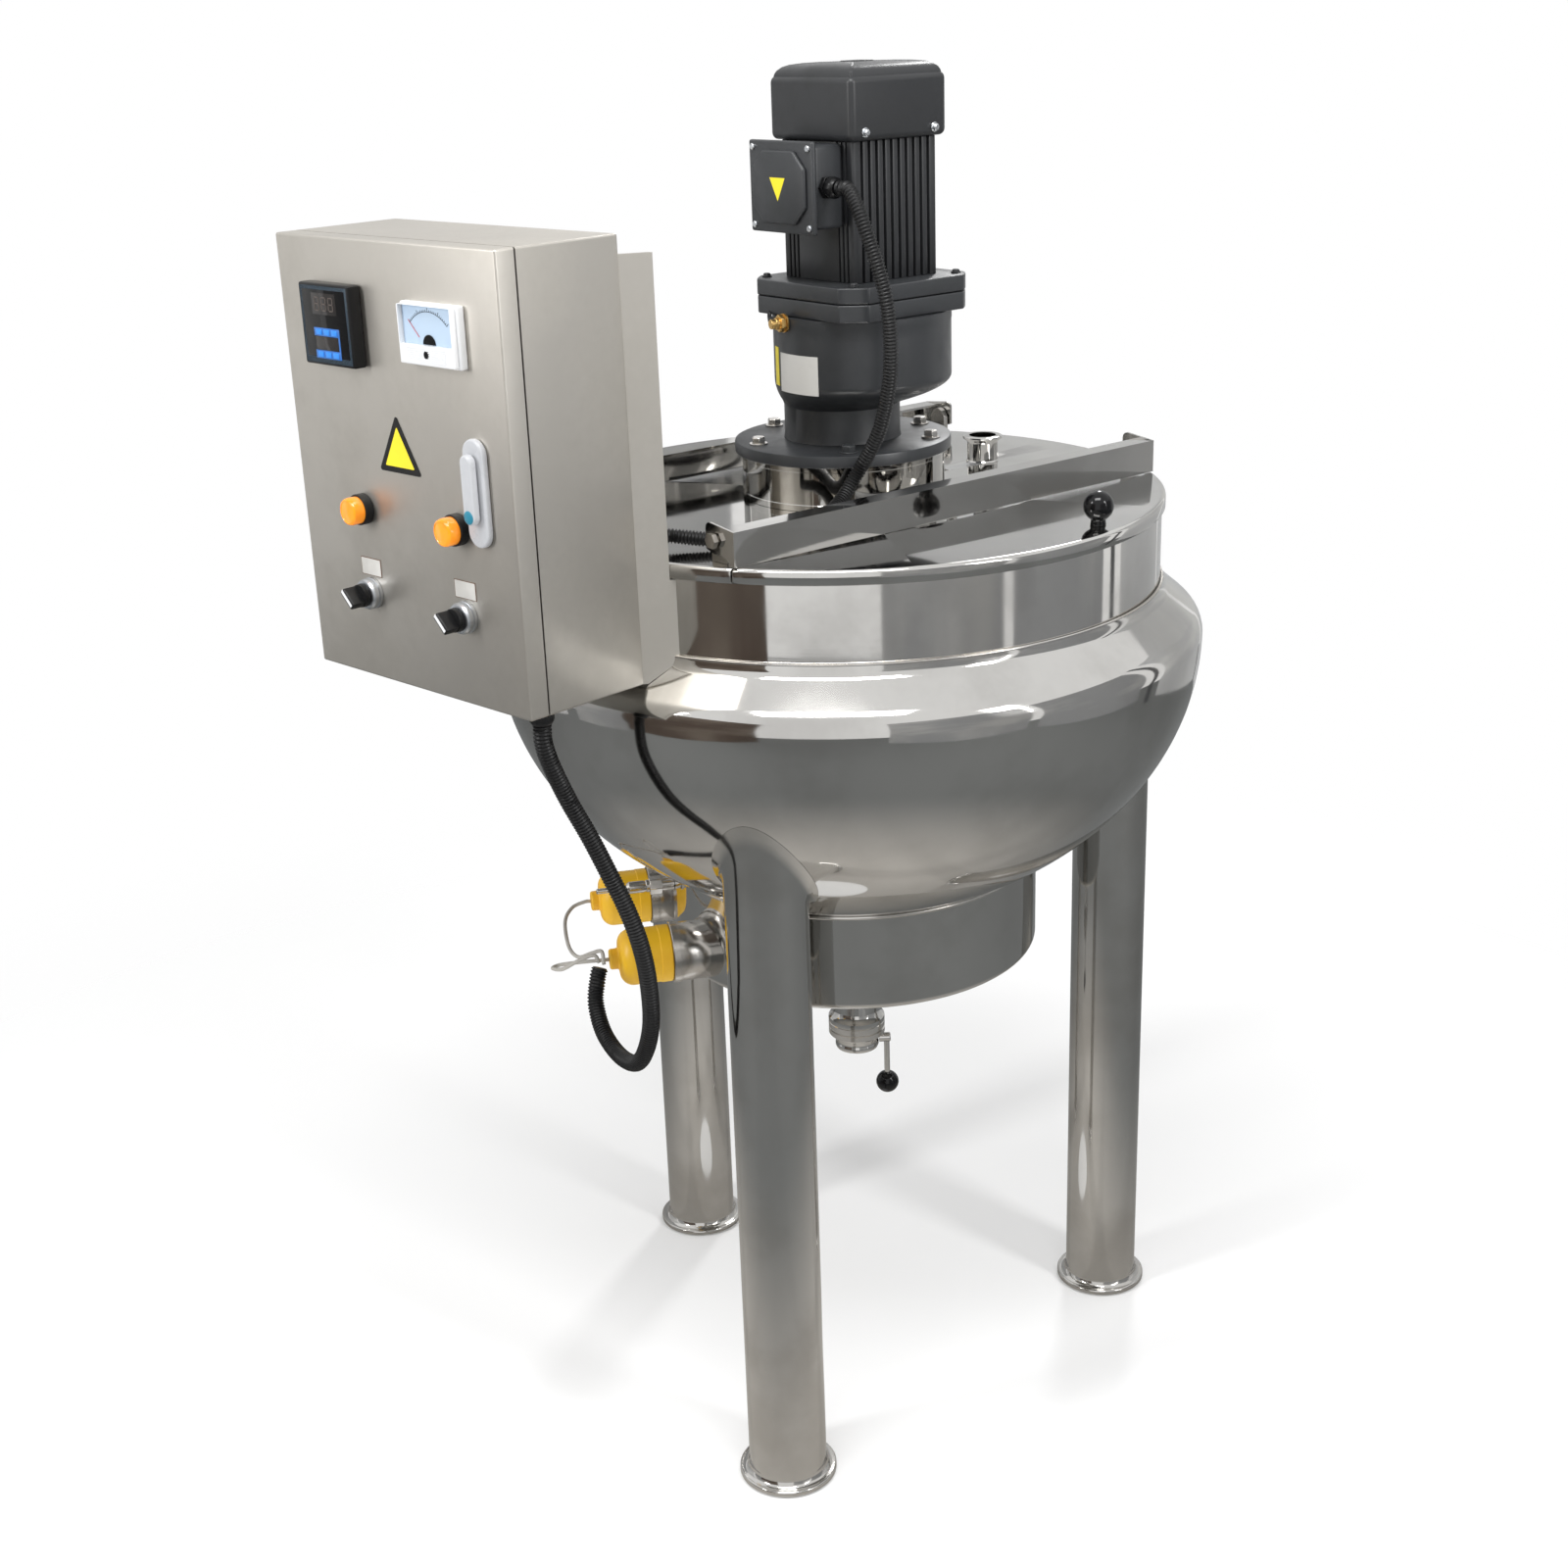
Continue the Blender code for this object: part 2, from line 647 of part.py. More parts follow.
def make_gear_housing():
    foot = flange_foot() + FLANGE_THICK + GAP
    neck_top = foot + NECK_HEIGHT
    rings = [(0, foot, NECK_R), (0, neck_top, NECK_R)]
    count = 4
    for i in range(1, count + 1):
        share = i / count
        eased = math.sin(share * math.pi / 2)
        rings.append((MOTOR_X * eased, neck_top + TAPER_HEIGHT * share, NECK_R + (HOUSING_R - NECK_R) * eased))
    rings.append((MOTOR_X, HOUSING_TOP, HOUSING_R))
    lofted("gear_housing", rings, DARK, 36)


def adapter(name, low, high, spec):
    # A round flange with four flats.
    plate = rod(name, ADAPTER_R, high - low, spec, (MOTOR_X, 0, low), steps=48)
    flats = 2 * ADAPTER_FLAT
    keep = box(name + "_keep", (flats, flats, 0.2), (MOTOR_X, 0, low), None)
    combine(plate, keep, "INTERSECT")


def make_adapter():
    adapter("adapter_ring", HOUSING_TOP + GAP, ADAPTER_TOP, DARK)


def finned_side():
    # Half of one side of the motor, from its middle to the corner: a flat panel, then fins.
    face = MOTOR_HALF
    run = MOTOR_HALF - PANEL_HALF
    pitch = (run - FIN_WIDTH) / FIN_COUNT
    points = [(PANEL_HALF, -face)]
    for i in range(FIN_COUNT):
        left = PANEL_HALF + i * pitch
        points.append((left + 0.0002, -face + FIN_DEPTH * (0.35 if i == FIN_COUNT - 1 else 1)))
        points.append((left + pitch - FIN_WIDTH, -face + FIN_DEPTH * (0.35 if i == FIN_COUNT - 1 else 1)))
        points.append((left + pitch - FIN_WIDTH + 0.0004, -face))
        if i < FIN_COUNT - 1:
            points.append((left + pitch, -face))
    return points


def make_motor():
    half = finned_side()
    side = [(-x, y) for x, y in reversed(half)] + half
    outline = []
    for quarter in range(4):
        angle = math.radians(90 * quarter)
        for x, y in side:
            outline.append((x * math.cos(angle) - y * math.sin(angle), x * math.sin(angle) + y * math.cos(angle)))
    slab("motor_body", outline, ADAPTER_TOP + GAP, MOTOR_TOP, DARK, (MOTOR_X, 0, 0))


def make_hood():
    # The fan hood: a rounded square with a low dome.
    low = MOTOR_TOP + GAP
    size = 2 * HOOD_HALF
    height = HOOD_TOP - low
    hood = box("fan_hood", (size, size, height), (MOTOR_X, 0, low + height / 2), DARK, HOOD_CORNER, 3, True)
    across = HOOD_HALF * math.sqrt(2)
    radius = (across ** 2 + HOOD_DOME ** 2) / (2 * HOOD_DOME)
    top = height + HOOD_DOME
    profile = [(0, top)]
    for i in range(1, 5):
        r = across * i / 4
        profile.append((r, top - radius + math.sqrt(radius ** 2 - r * r)))
    profile += [(across, height / 2), (0, height / 2)]
    dome = turned("hood_dome", profile, None, (MOTOR_X, 0, low), steps=32)
    corners = box("hood_keep", (size, size, height), (MOTOR_X, 0, low + height), None, HOOD_CORNER, 3, True)
    combine(dome, corners, "INTERSECT")
    combine(hood, dome, "UNION")


def make_terminal_box():
    front = -MOTOR_HALF - GAP
    x = MOTOR_X + TERMINAL_X
    size = (TERMINAL_W - TERMINAL_RIM, TERMINAL_D, TERMINAL_H - TERMINAL_RIM)
    case = box("terminal_box", size, (x, front - TERMINAL_D / 2, TERMINAL_Z), DARK, 0.004, 2)
    lid_y = front - TERMINAL_D + 0.001
    cut = 0.012
    w, h = TERMINAL_W / 2, TERMINAL_H / 2
    outline = [(-w + cut, -h), (w - cut, -h), (w, -h + cut), (w, h - cut), (w - cut, h), (-w + cut, h),
               (-w, h - cut), (-w, -h + cut)]
    standing = Matrix(((1, 0, 0), (0, 0, -1), (0, 1, 0))).to_quaternion()
    lid = slab("terminal_lid", outline, -lid_y, -lid_y + TERMINAL_LID, None, (x, 0, TERMINAL_Z), standing)
    combine(case, lid, "UNION")
    gland_at = (x + size[0] / 2 + GAP, front - TERMINAL_D * 0.55, TERMINAL_Z)
    gland("motor_gland", gland_at, (1, 0, 0), 0.0105)
    return gland_at


def gland(name, at, axis, radius, parent=None):
    profile = [(0, GLAND_LENGTH), (radius * 0.8, GLAND_LENGTH), (radius, GLAND_LENGTH - 0.004),
               (radius, GLAND_LENGTH - 0.010), (radius * 0.85, GLAND_LENGTH - 0.0105),
               (radius * 1.1, 0.006), (radius * 1.1, 0), (0, 0)]
    return turned(name, profile, BLACK, at, axis, steps=12, parent=parent)


def make_vent_plug():
    way = compass(PLUG_ANGLE)
    at = Vector((MOTOR_X, 0, PLUG_Z)) + way * (HOUSING_R + 0.0006)
    profile = [(0, 0.016), (0.0045, 0.016), (0.0055, 0.009), (PLUG_R, 0.008), (PLUG_R, 0.001), (0.007, 0), (0, 0)]
    turned("vent_plug", profile, BRASS, at, way, steps=12)


def make_agitator():
    # A stirrer shaft with an anchor that follows the pot's wall and dish.
    reach = POT_R - SHEET - ANCHOR_CLEAR - ANCHOR_R
    depth = POT_DISH_DEPTH - SHEET - ANCHOR_CLEAR - ANCHOR_R
    bottom = POT_DISH_TOP - depth
    points = [(reach, 0, ANCHOR_TOP), (reach, 0, POT_DISH_TOP + 0.04)]
    for i in range(13):
        angle = math.pi * i / 12
        points.append((reach * math.cos(angle), 0, POT_DISH_TOP - depth * math.sin(angle)))
    points += [(-reach, 0, POT_DISH_TOP + 0.04), (-reach, 0, ANCHOR_TOP)]
    anchor = as_mesh(tube("agitator_anchor", points, ANCHOR_R, STEEL, 1))
    shaft_top = flange_foot() + FLANGE_THICK
    shaft = rod("agitator", SHAFT_R, shaft_top - bottom, STEEL, (0, 0, bottom), steps=20)
    combine(shaft, anchor, "UNION")
    for i, z in enumerate(ARM_HEIGHTS):
        share = math.sqrt(max(0.0, 1 - (max(0.0, POT_DISH_TOP - z) / depth) ** 2))
        length = 2 * reach * share
        arm = rod(f"agitator_arm_{i}", ANCHOR_R * 0.9, length, None, (-length / 2, 0, z), (1, 0, 0), steps=10)
        combine(shaft, arm, "UNION")


def make_outlet():
    inner = OUTLET_R - OUTLET_WALL
    last = math.sqrt(1 - (OUTLET_R / POT_R) ** 2)
    top = POT_DISH_TOP - POT_DISH_DEPTH * last - 2 * GAP - 0.0005
    low = OUTLET_END
    profile = [(inner, top), (OUTLET_R, top), (OUTLET_R, low + 0.012), (FERRULE_R, low + 0.006), (FERRULE_R, low),
               (inner, low)]
    turned("outlet_pipe", profile, STEEL, steps=24, loop=True)
    clamp_top = low - GAP
    clamp = [(inner, 0), (FERRULE_R, 0), (FERRULE_R, -CLAMP_HEIGHT * 0.35), (FERRULE_R - 0.003, -CLAMP_HEIGHT * 0.45),
             (FERRULE_R, -CLAMP_HEIGHT * 0.55), (FERRULE_R, -CLAMP_HEIGHT), (inner, -CLAMP_HEIGHT)]
    turned("outlet_clamp", clamp, STEEL, (0, 0, clamp_top), steps=24, loop=True)
    make_valve(clamp_top - CLAMP_HEIGHT - GAP, inner)


def make_valve(top, inner):
    middle = VALVE_HEIGHT / 2
    disc = 0.002
    bore = [(0, -middle + disc), (inner - 0.004, -middle + disc), (inner - 0.002, 0), (VALVE_R, 0),
            (VALVE_R, -VALVE_HEIGHT), (inner - 0.002, -VALVE_HEIGHT), (inner - 0.004, -middle - disc),
            (0, -middle - disc)]
    turned("outlet_valve", bore, STEEL, (0, 0, top), steps=24)
    way = compass(VALVE_ANGLE)
    centre = Vector((0, 0, top - middle))
    foot = centre + way * (VALVE_R + 0.0005)
    lever = rod("valve_lever", LEVER_HUB * 0.55, LEVER_REACH - VALVE_R + 0.004, STEEL, foot, way, steps=16)
    grip = centre + way * LEVER_REACH
    stem = rod("lever_rod", LEVER_ROD_R, LEVER_DROP, None, grip, (0, 0, -1), steps=12)
    combine(lever, stem, "UNION")
    flat = math.degrees(math.asin(0.005 / LEVER_BALL_R))
    drop = LEVER_BALL_R * math.cos(math.radians(flat))
    outline = [(0, drop)] + arc((0, 0), LEVER_BALL_R, 90 - flat, -90, 8)
    outline[-1] = (0, -LEVER_BALL_R)
    ball = turned("lever_ball", outline, None, grip + Vector((0, 0, -LEVER_DROP - drop + 0.001)), steps=20)
    combine(lever, ball, "UNION")


def make_heaters():
    way = compass(HEATER_ANGLE)
    across = compass(HEATER_ANGLE + 90)
    trim = rod("drum_clearance", DRUM_R + GAP, 0.3, None, (0, 0, DRUM_BOTTOM - 0.1), steps=ROUND_STEPS)
    for side, sign in (("front", 1), ("rear", -1)):
        origin = across * (HEATER_OFFSET * sign) + Vector((0, 0, HEATER_Z))
        chord = math.sqrt(DRUM_R ** 2 - HEATER_OFFSET ** 2)
        start = origin + way * (chord - 0.05)
        bore = SOCKET_R - SHEET
        socket = ring(f"heater_socket_{side}", SOCKET_R, bore, SOCKET_LENGTH + 0.05, STEEL, start, way, 24)
        combine(socket, trim, "DIFFERENCE")
        nut_at = origin + way * (chord + SOCKET_LENGTH - 0.001)
        nut = ring(f"heater_nut_{side}", HEATER_NUT_R, bore, HEATER_NUT, None, nut_at, way, 24)
        combine(socket, nut, "UNION")
        cap_at = nut_at + way * (HEATER_NUT + GAP)
        neck = 0.011
        end = CAP_LENGTH
        cap = [(0, end), (neck, end), (neck, end - 0.008)]
        cap += arc((CAP_R - 0.014, end - 0.024), 0.014, 70, 0, 4) + [(CAP_R, 0), (0, 0)]
        turned(f"heater_cap_{side}", cap, YELLOW, cap_at, way, 24)
    probe_at = way * (DRUM_R + GAP) + Vector((0, 0, PROBE_Z))
    probe = [(0, PROBE_LENGTH), (0.003, PROBE_LENGTH), (0.003, 0.052), (PROBE_R, 0.050), (PROBE_R, 0.030),
             (0.0105, 0.028), (0.0105, 0.014), (PROBE_R, 0.012), (PROBE_R, 0), (0, 0)]
    turned("oil_probe", probe, BRUSHED, probe_at, way, 12)


def make_cabinet():
    frame = bpy.data.objects.new("cabinet_frame", None)
    parts.objects.link(frame)
    frame.location = CABINET_AT
    frame.rotation_euler = (0, 0, math.radians(CABINET_TURN))
    size = (CABINET_W, CABINET_D, CABINET_H)
    tray("cabinet_body", size, (0, -CABINET_D / 2, CABINET_H / 2), -1, CABINET_SHEET, BRUSHED, frame)
    door_y = -CABINET_D - DOOR_GAP - DOOR_D / 2
    door = tray("cabinet_door", (CABINET_W, DOOR_D, CABINET_H), (0, door_y, CABINET_H / 2), 1, CABINET_SHEET,
                BRUSHED, frame)
    plate = (CABINET_W - 2 * PLATE_INSET, 0.002, CABINET_H - 2 * PLATE_INSET)
    plate_y = -CABINET_SHEET - PLATE_STAND
    back = box("mounting_plate", plate, (0, plate_y, CABINET_H / 2), BRUSHED, parent=frame)
    for x in (-1, 1):
        for z in (-1, 1):
            at = (x * (plate[0] / 2 - 0.02), plate_y, CABINET_H / 2 + z * (plate[2] / 2 - 0.02))
            post = rod(f"post_{x}_{z}", 0.004, PLATE_STAND - GAP, None, at, (0, 1, 0), 10, parent=frame)
            combine(back, post, "UNION")
    hinge_y = -CABINET_D - DOOR_GAP / 2
    for name, z in (("lower", HINGE_INSET), ("upper", CABINET_H - HINGE_INSET - HINGE_LENGTH)):
        at = (-CABINET_W / 2 - HINGE_R - GAP, hinge_y, z)
        barrel = rod("door_hinge_" + name, HINGE_R, HINGE_LENGTH, BRUSHED, at, (0, 0, 1), 16, parent=frame)
        leaf = box("leaf_" + name, (0.002, 0.016, HINGE_LENGTH - 0.004),
                   (-CABINET_W / 2 - GAP - 0.001, hinge_y + 0.011, z + HINGE_LENGTH / 2), None, parent=frame)
        combine(barrel, leaf, "UNION")
    make_door_fittings(frame, door)
    make_arms(frame)
    return frame


def through(door, name, size, at, frame):
    # A rectangular cut-out in the door for a panel instrument.
    cut = box(name, (size[0], 0.2, size[1]), (at[0], -CABINET_D - DOOR_D / 2, at[1]), None, parent=frame)
    combine(door, cut, "DIFFERENCE")


def instrument(name, at, size, spec, door, frame):
    # A bezel on the door's face with its narrower case behind, through the cut-out.
    face = -CABINET_D - DOOR_GAP - DOOR_D
    w, h, depth = size
    body = box(name, (w, depth, h), (at[0], face - GAP - depth / 2, at[1]), spec, 0.002, 2, parent=frame)
    rear = (w - 4 * REAR_INSET, REAR_DEPTH + depth / 2, h - 2 * REAR_INSET)
    case = box(name + "_case", rear, (at[0], face - GAP - depth / 2 + rear[1] / 2, at[1]), None, parent=frame)
    combine(body, case, "UNION")
    through(door, name + "_hole", (rear[0] + 2 * GAP, rear[2] + 2 * GAP), at, frame)


def make_door_fittings(frame, door):
    face = -CABINET_D - DOOR_GAP - DOOR_D
    instrument("temperature_controller", CONTROLLER_AT, CONTROLLER_SIZE, BLACK, door, frame)
    instrument("voltmeter", METER_AT, METER_SIZE, WHITE, door, frame)
    out = (0, -1, 0)
    for side, x in zip(("left", "right"), SWITCH_X):
        for name, z in (("lamp", LAMP_Z), ("switch", SWITCH_Z)):
            hole = rod(f"{name}_hole_{side}", DEVICE_REAR_R + GAP, 0.1, None, (x, face - 0.02, z), (0, 1, 0),
                       parent=frame)
            combine(door, hole, "DIFFERENCE")
        at = (x, face + 0.030, LAMP_Z)
        length = 0.030 + GAP + LAMP_COLLAR
        collar = [(0, length), (LAMP_COLLAR_R - 0.001, length), (LAMP_COLLAR_R, length - 0.001),
                  (LAMP_COLLAR_R, 0.030 + GAP), (DEVICE_REAR_R, 0.030 + GAP), (DEVICE_REAR_R, 0), (0, 0)]
        lamp = turned(f"lamp_{side}", collar, AMBER, at, out, 16, parent=frame)
        lens = [(0, LAMP_LENS), (LAMP_LENS_R - 0.003, LAMP_LENS), (LAMP_LENS_R - 0.0008, LAMP_LENS - 0.001),
                (LAMP_LENS_R, LAMP_LENS - 0.003), (LAMP_LENS_R, 0), (0, 0)]
        lens_at = (x, face - LAMP_COLLAR, LAMP_Z)
        combine(lamp, turned(f"lens_{side}", lens, None, lens_at, out, 16, parent=frame), "UNION")
        at = (x, face + 0.030, SWITCH_Z)
        length = 0.030 + GAP + SWITCH_BEZEL
        bezel = [(0, length), (SWITCH_BEZEL_R - 0.002, length), (SWITCH_BEZEL_R, length - 0.002),
                 (SWITCH_BEZEL_R, 0.030 + GAP), (DEVICE_REAR_R, 0.030 + GAP), (DEVICE_REAR_R, 0), (0, 0)]
        turned(f"switch_bezel_{side}", bezel, BRUSHED, at, out, 16, parent=frame)
        knob_at = (x, face - 2 * GAP - SWITCH_BEZEL, SWITCH_Z)
        skirt = 0.006
        knob = rod(f"switch_knob_{side}", SWITCH_KNOB_R, skirt, BLACK, knob_at, out, 16, 0.0008, parent=frame)
        grip = box(f"switch_grip_{side}", (2 * SWITCH_KNOB_R - 0.002, SWITCH_KNOB - 0.003, 0.0075),
                   (x, knob_at[1] - 0.003 - (SWITCH_KNOB - 0.003) / 2, SWITCH_Z), None, 0.0015, parent=frame)
        grip.rotation_euler = (0, SWITCH_POINTS, 0)
        combine(knob, grip, "UNION")
    make_lock(frame, face)


def oval(width, height, count=7):
    radius = width / 2
    reach = height / 2 - radius
    return arc((0, reach), radius, 0, 180, count) + arc((0, -reach), radius, 180, 360, count)


def make_lock(frame, face):
    standing = Matrix(((1, 0, 0), (0, 0, -1), (0, 1, 0))).to_quaternion()
    x, z = LOCK_AT
    low = -face + GAP
    plate = slab("lock_plate", oval(LOCK_W, LOCK_H), low, low + LOCK_D, STEEL, (x, 0, z), standing, frame)
    soft = plate.modifiers.new("Edges", "BEVEL")
    soft.width = 0.0015
    soft.segments = 2
    soft.limit_method = "ANGLE"
    low += LOCK_D + 0.0006
    shift = LOCK_PIVOT - LOCK_LEVER_H / 2 + LOCK_LEVER_W / 2
    shape = [(px, py + shift) for px, py in oval(LOCK_LEVER_W, LOCK_LEVER_H, 6)]
    lever = slab("lock_lever", shape, low, low + LOCK_LEVER_D, STEEL, (x, 0, z), standing, frame)
    soft = lever.modifiers.new("Edges", "BEVEL")
    soft.width = 0.002
    soft.segments = 2
    soft.limit_method = "ANGLE"


def make_arms(frame):
    # Two bent arms from the cabinet's back to the kettle, trimmed to the pot's wall and shoulder.
    toe = math.radians(ARM_TOE)
    trim = bpy.data.objects["kettle_clearance"]
    for side, sign in (("right", 1), ("left", -1)):
        corner = Vector((sign * (CABINET_W / 2 - 0.002), GAP, 0))
        inward = Vector((-sign, 0, 0))
        back = Vector((math.sin(toe), math.cos(toe), 0))
        leaf = corner + inward * ARM_LEAF
        tip = corner + back * ARM_REACH
        across = Vector((back.y, -back.x, 0)) * (-sign)
        lift = Vector((0, ARM_SHEET, 0))
        inner = corner + lift + (across / abs(across.x)) * ARM_SHEET
        outline = [leaf, corner, tip, tip + across * ARM_SHEET, inner, leaf + lift]
        shape = [(p.x, p.y) for p in outline]
        arm = slab("bracket_arm_" + side, shape, 0.0, CABINET_H - ARM_DROP, BRUSHED, parent=frame)
        combine(arm, trim, "DIFFERENCE")


def cabinet_point(x, y, z):
    turn = Matrix.Rotation(math.radians(CABINET_TURN), 3, "Z")
    return turn @ Vector((x, y, z)) + Vector(CABINET_AT)


def make_conduits(frame, motor_gland):
    x, y = HEATER_GLAND_AT
    gland("heater_gland", (x, y, -GAP), (0, 0, -1), GLAND_R, frame)
    x, z = MOTOR_GLAND_AT
    gland("cabinet_gland", (x, GAP, z), (0, 1, 0), GLAND_R, frame)
    leave = GLAND_LENGTH + 3 * GAP
    ends = [cabinet_point(x, leave + 0.020, z), cabinet_point(x, leave + 0.004, z), cabinet_point(x, leave, z)]
    start = [motor_gland + Vector((leave + more, 0, 0)) for more in (0, 0.005)]
    tube("motor_conduit", start + smooth_path(MOTOR_ROUTE, 0.016) + ends, MOTOR_CONDUIT_R, BLACK)
    x, y = HEATER_GLAND_AT
    ends = [cabinet_point(x, y, -leave), cabinet_point(x, y, -leave - 0.004), cabinet_point(x, y, -leave - 0.018)]
    tube("heater_conduit", ends + smooth_path(HEATER_ROUTE, 0.018), HEATER_CONDUIT_R, BLACK)
    tube("heater_lead_front", smooth_path(FRONT_LEAD_ROUTE, 0.006), LEAD_R, GREY, 1)
    tube("heater_lead_rear", smooth_path(REAR_LEAD_ROUTE, 0.008), LEAD_R, GREY, 1)


# The conduits' routes, from gland to gland
MOTOR_ROUTE = [
    (0.106, -0.074, 1.3165), (0.124, -0.0735, 1.288), (0.144, -0.065, 1.222),
    (0.146, -0.062, 1.157), (0.132, -0.062, 1.102), (0.117, -0.066, 1.071), (0.104, -0.074, 1.046),
    (0.105, -0.095, 1.025), (0.119, -0.135, 1.0155), (0.126, -0.180, 1.0145), (0.121, -0.215, 1.0145),
    (0.102, -0.250, 1.0155), (0.075, -0.276, 1.019)]
HEATER_ROUTE = [
    (0.087, -0.425, 0.836), (0.088, -0.412, 0.795),
    (0.0976, -0.400, 0.756), (0.1056, -0.390, 0.715), (0.115, -0.380, 0.681), (0.1216, -0.372, 0.645),
    (0.1211, -0.365, 0.605), (0.1151, -0.360, 0.557), (0.0959, -0.355, 0.516), (0.0691, -0.350, 0.488),
    (0.0294, -0.343, 0.478), (-0.0093, -0.336, 0.487), (-0.0336, -0.328, 0.5095), (-0.0397, -0.320, 0.533),
    (-0.0413, -0.315, 0.544)]
FRONT_LEAD_ROUTE = [
    (-0.0589, -0.2919, 0.540), (-0.0618, -0.2975, 0.540), (-0.074, -0.309, 0.538), (-0.092, -0.320, 0.533), (-0.102, -0.329, 0.530),
    (-0.098, -0.338, 0.531), (-0.080, -0.337, 0.536), (-0.062, -0.328, 0.549), (-0.050, -0.316, 0.5555),
    (-0.0455, -0.3127, 0.5478)]
REAR_LEAD_ROUTE = [
    (-0.2015, -0.2193, 0.540), (-0.2044, -0.2249, 0.540), (-0.208, -0.240, 0.536), (-0.196, -0.258, 0.528), (-0.150, -0.284, 0.522),
    (-0.105, -0.301, 0.530), (-0.070, -0.306, 0.548), (-0.048, -0.3075, 0.5580), (-0.0385, -0.3115, 0.5478)]


def build():
    trim = kettle_clearance()
    make_pot()
    make_jacket()
    make_drum()
    make_legs(trim)
    make_lid()
    make_inlet()
    make_pedestal()
    make_flange()
    make_gear_housing()
    make_adapter()
    make_motor()
    make_hood()
    motor_gland = make_terminal_box()
    make_vent_plug()
    make_agitator()
    make_outlet()
    make_heaters()
    frame = make_cabinet()
    make_conduits(frame, Vector(motor_gland))
    for obj in bpy.data.objects:
        if not obj.parent:
            obj.location.y += KETTLE_Y


clear_scene()
parts = collection("jacketed_kettle")
cutters = collection("cutters")
build()
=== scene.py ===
import bpy
import math
from mathutils import Matrix, Vector


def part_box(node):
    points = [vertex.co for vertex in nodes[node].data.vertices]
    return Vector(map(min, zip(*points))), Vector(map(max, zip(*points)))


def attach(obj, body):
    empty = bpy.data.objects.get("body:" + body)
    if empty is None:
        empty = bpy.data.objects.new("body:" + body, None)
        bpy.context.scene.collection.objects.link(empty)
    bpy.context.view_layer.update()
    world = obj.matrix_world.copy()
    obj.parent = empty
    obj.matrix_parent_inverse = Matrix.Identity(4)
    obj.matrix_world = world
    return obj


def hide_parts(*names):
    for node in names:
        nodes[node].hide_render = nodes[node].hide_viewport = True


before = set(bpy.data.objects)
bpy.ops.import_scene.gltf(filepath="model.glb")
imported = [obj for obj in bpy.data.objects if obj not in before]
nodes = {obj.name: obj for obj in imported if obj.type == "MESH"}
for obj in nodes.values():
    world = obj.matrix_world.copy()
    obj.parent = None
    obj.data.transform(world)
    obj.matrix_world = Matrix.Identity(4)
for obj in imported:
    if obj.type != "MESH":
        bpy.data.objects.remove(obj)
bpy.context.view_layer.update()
print("frame loaded")

kettleY = sum(corner[1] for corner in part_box("jacket_shell")) / 2  # the kettle's axis
axisAt = Vector((0, kettleY, 0))
finishes = {}  # the materials by name

# shared modelling steps


def deselectAll():
    if bpy.context.mode != "OBJECT":
        bpy.ops.object.mode_set(mode="OBJECT")
    bpy.ops.object.select_all(action="DESELECT")


def pick(piece):
    deselectAll()
    piece.select_set(True)
    bpy.context.view_layer.objects.active = piece


def editAll(piece):
    pick(piece)
    bpy.ops.object.mode_set(mode="EDIT")
    bpy.ops.mesh.select_all(action="SELECT")


def applyPlace(piece):
    pick(piece)
    bpy.ops.object.transform_apply(location=True, rotation=True, scale=True)


def putAt(piece, at, aim=(0, 0, 1)):
    # a piece made upright at the origin goes to its place, standing along aim
    piece.rotation_mode = "QUATERNION"
    piece.rotation_quaternion = Vector((0, 0, 1)).rotation_difference(Vector(aim))
    piece.location = at
    applyPlace(piece)


def applyAll(piece):
    pick(piece)
    for modifier in list(piece.modifiers):
        bpy.ops.object.modifier_apply(modifier=modifier.name)


def smooth(piece, angle=32):
    pick(piece)
    bpy.ops.object.shade_smooth_by_angle(angle=math.radians(angle))


def outward(piece):
    editAll(piece)
    bpy.ops.mesh.remove_doubles(threshold=0.00002)
    bpy.ops.mesh.normals_make_consistent(inside=False)
    bpy.ops.object.mode_set(mode="OBJECT")


def giveWall(piece, thickness):
    wall = piece.modifiers.new("wall", "SOLIDIFY")
    wall.thickness = thickness
    wall.offset = -1
    applyAll(piece)


def roundEdges(piece, width, segments=3, angle=40):
    bevel = piece.modifiers.new("edges", "BEVEL")
    bevel.width = width
    bevel.segments = segments
    bevel.limit_method = "ANGLE"
    bevel.angle_limit = math.radians(angle)
    bevel.harden_normals = False
    applyAll(piece)
    smooth(piece, 40)
    return piece


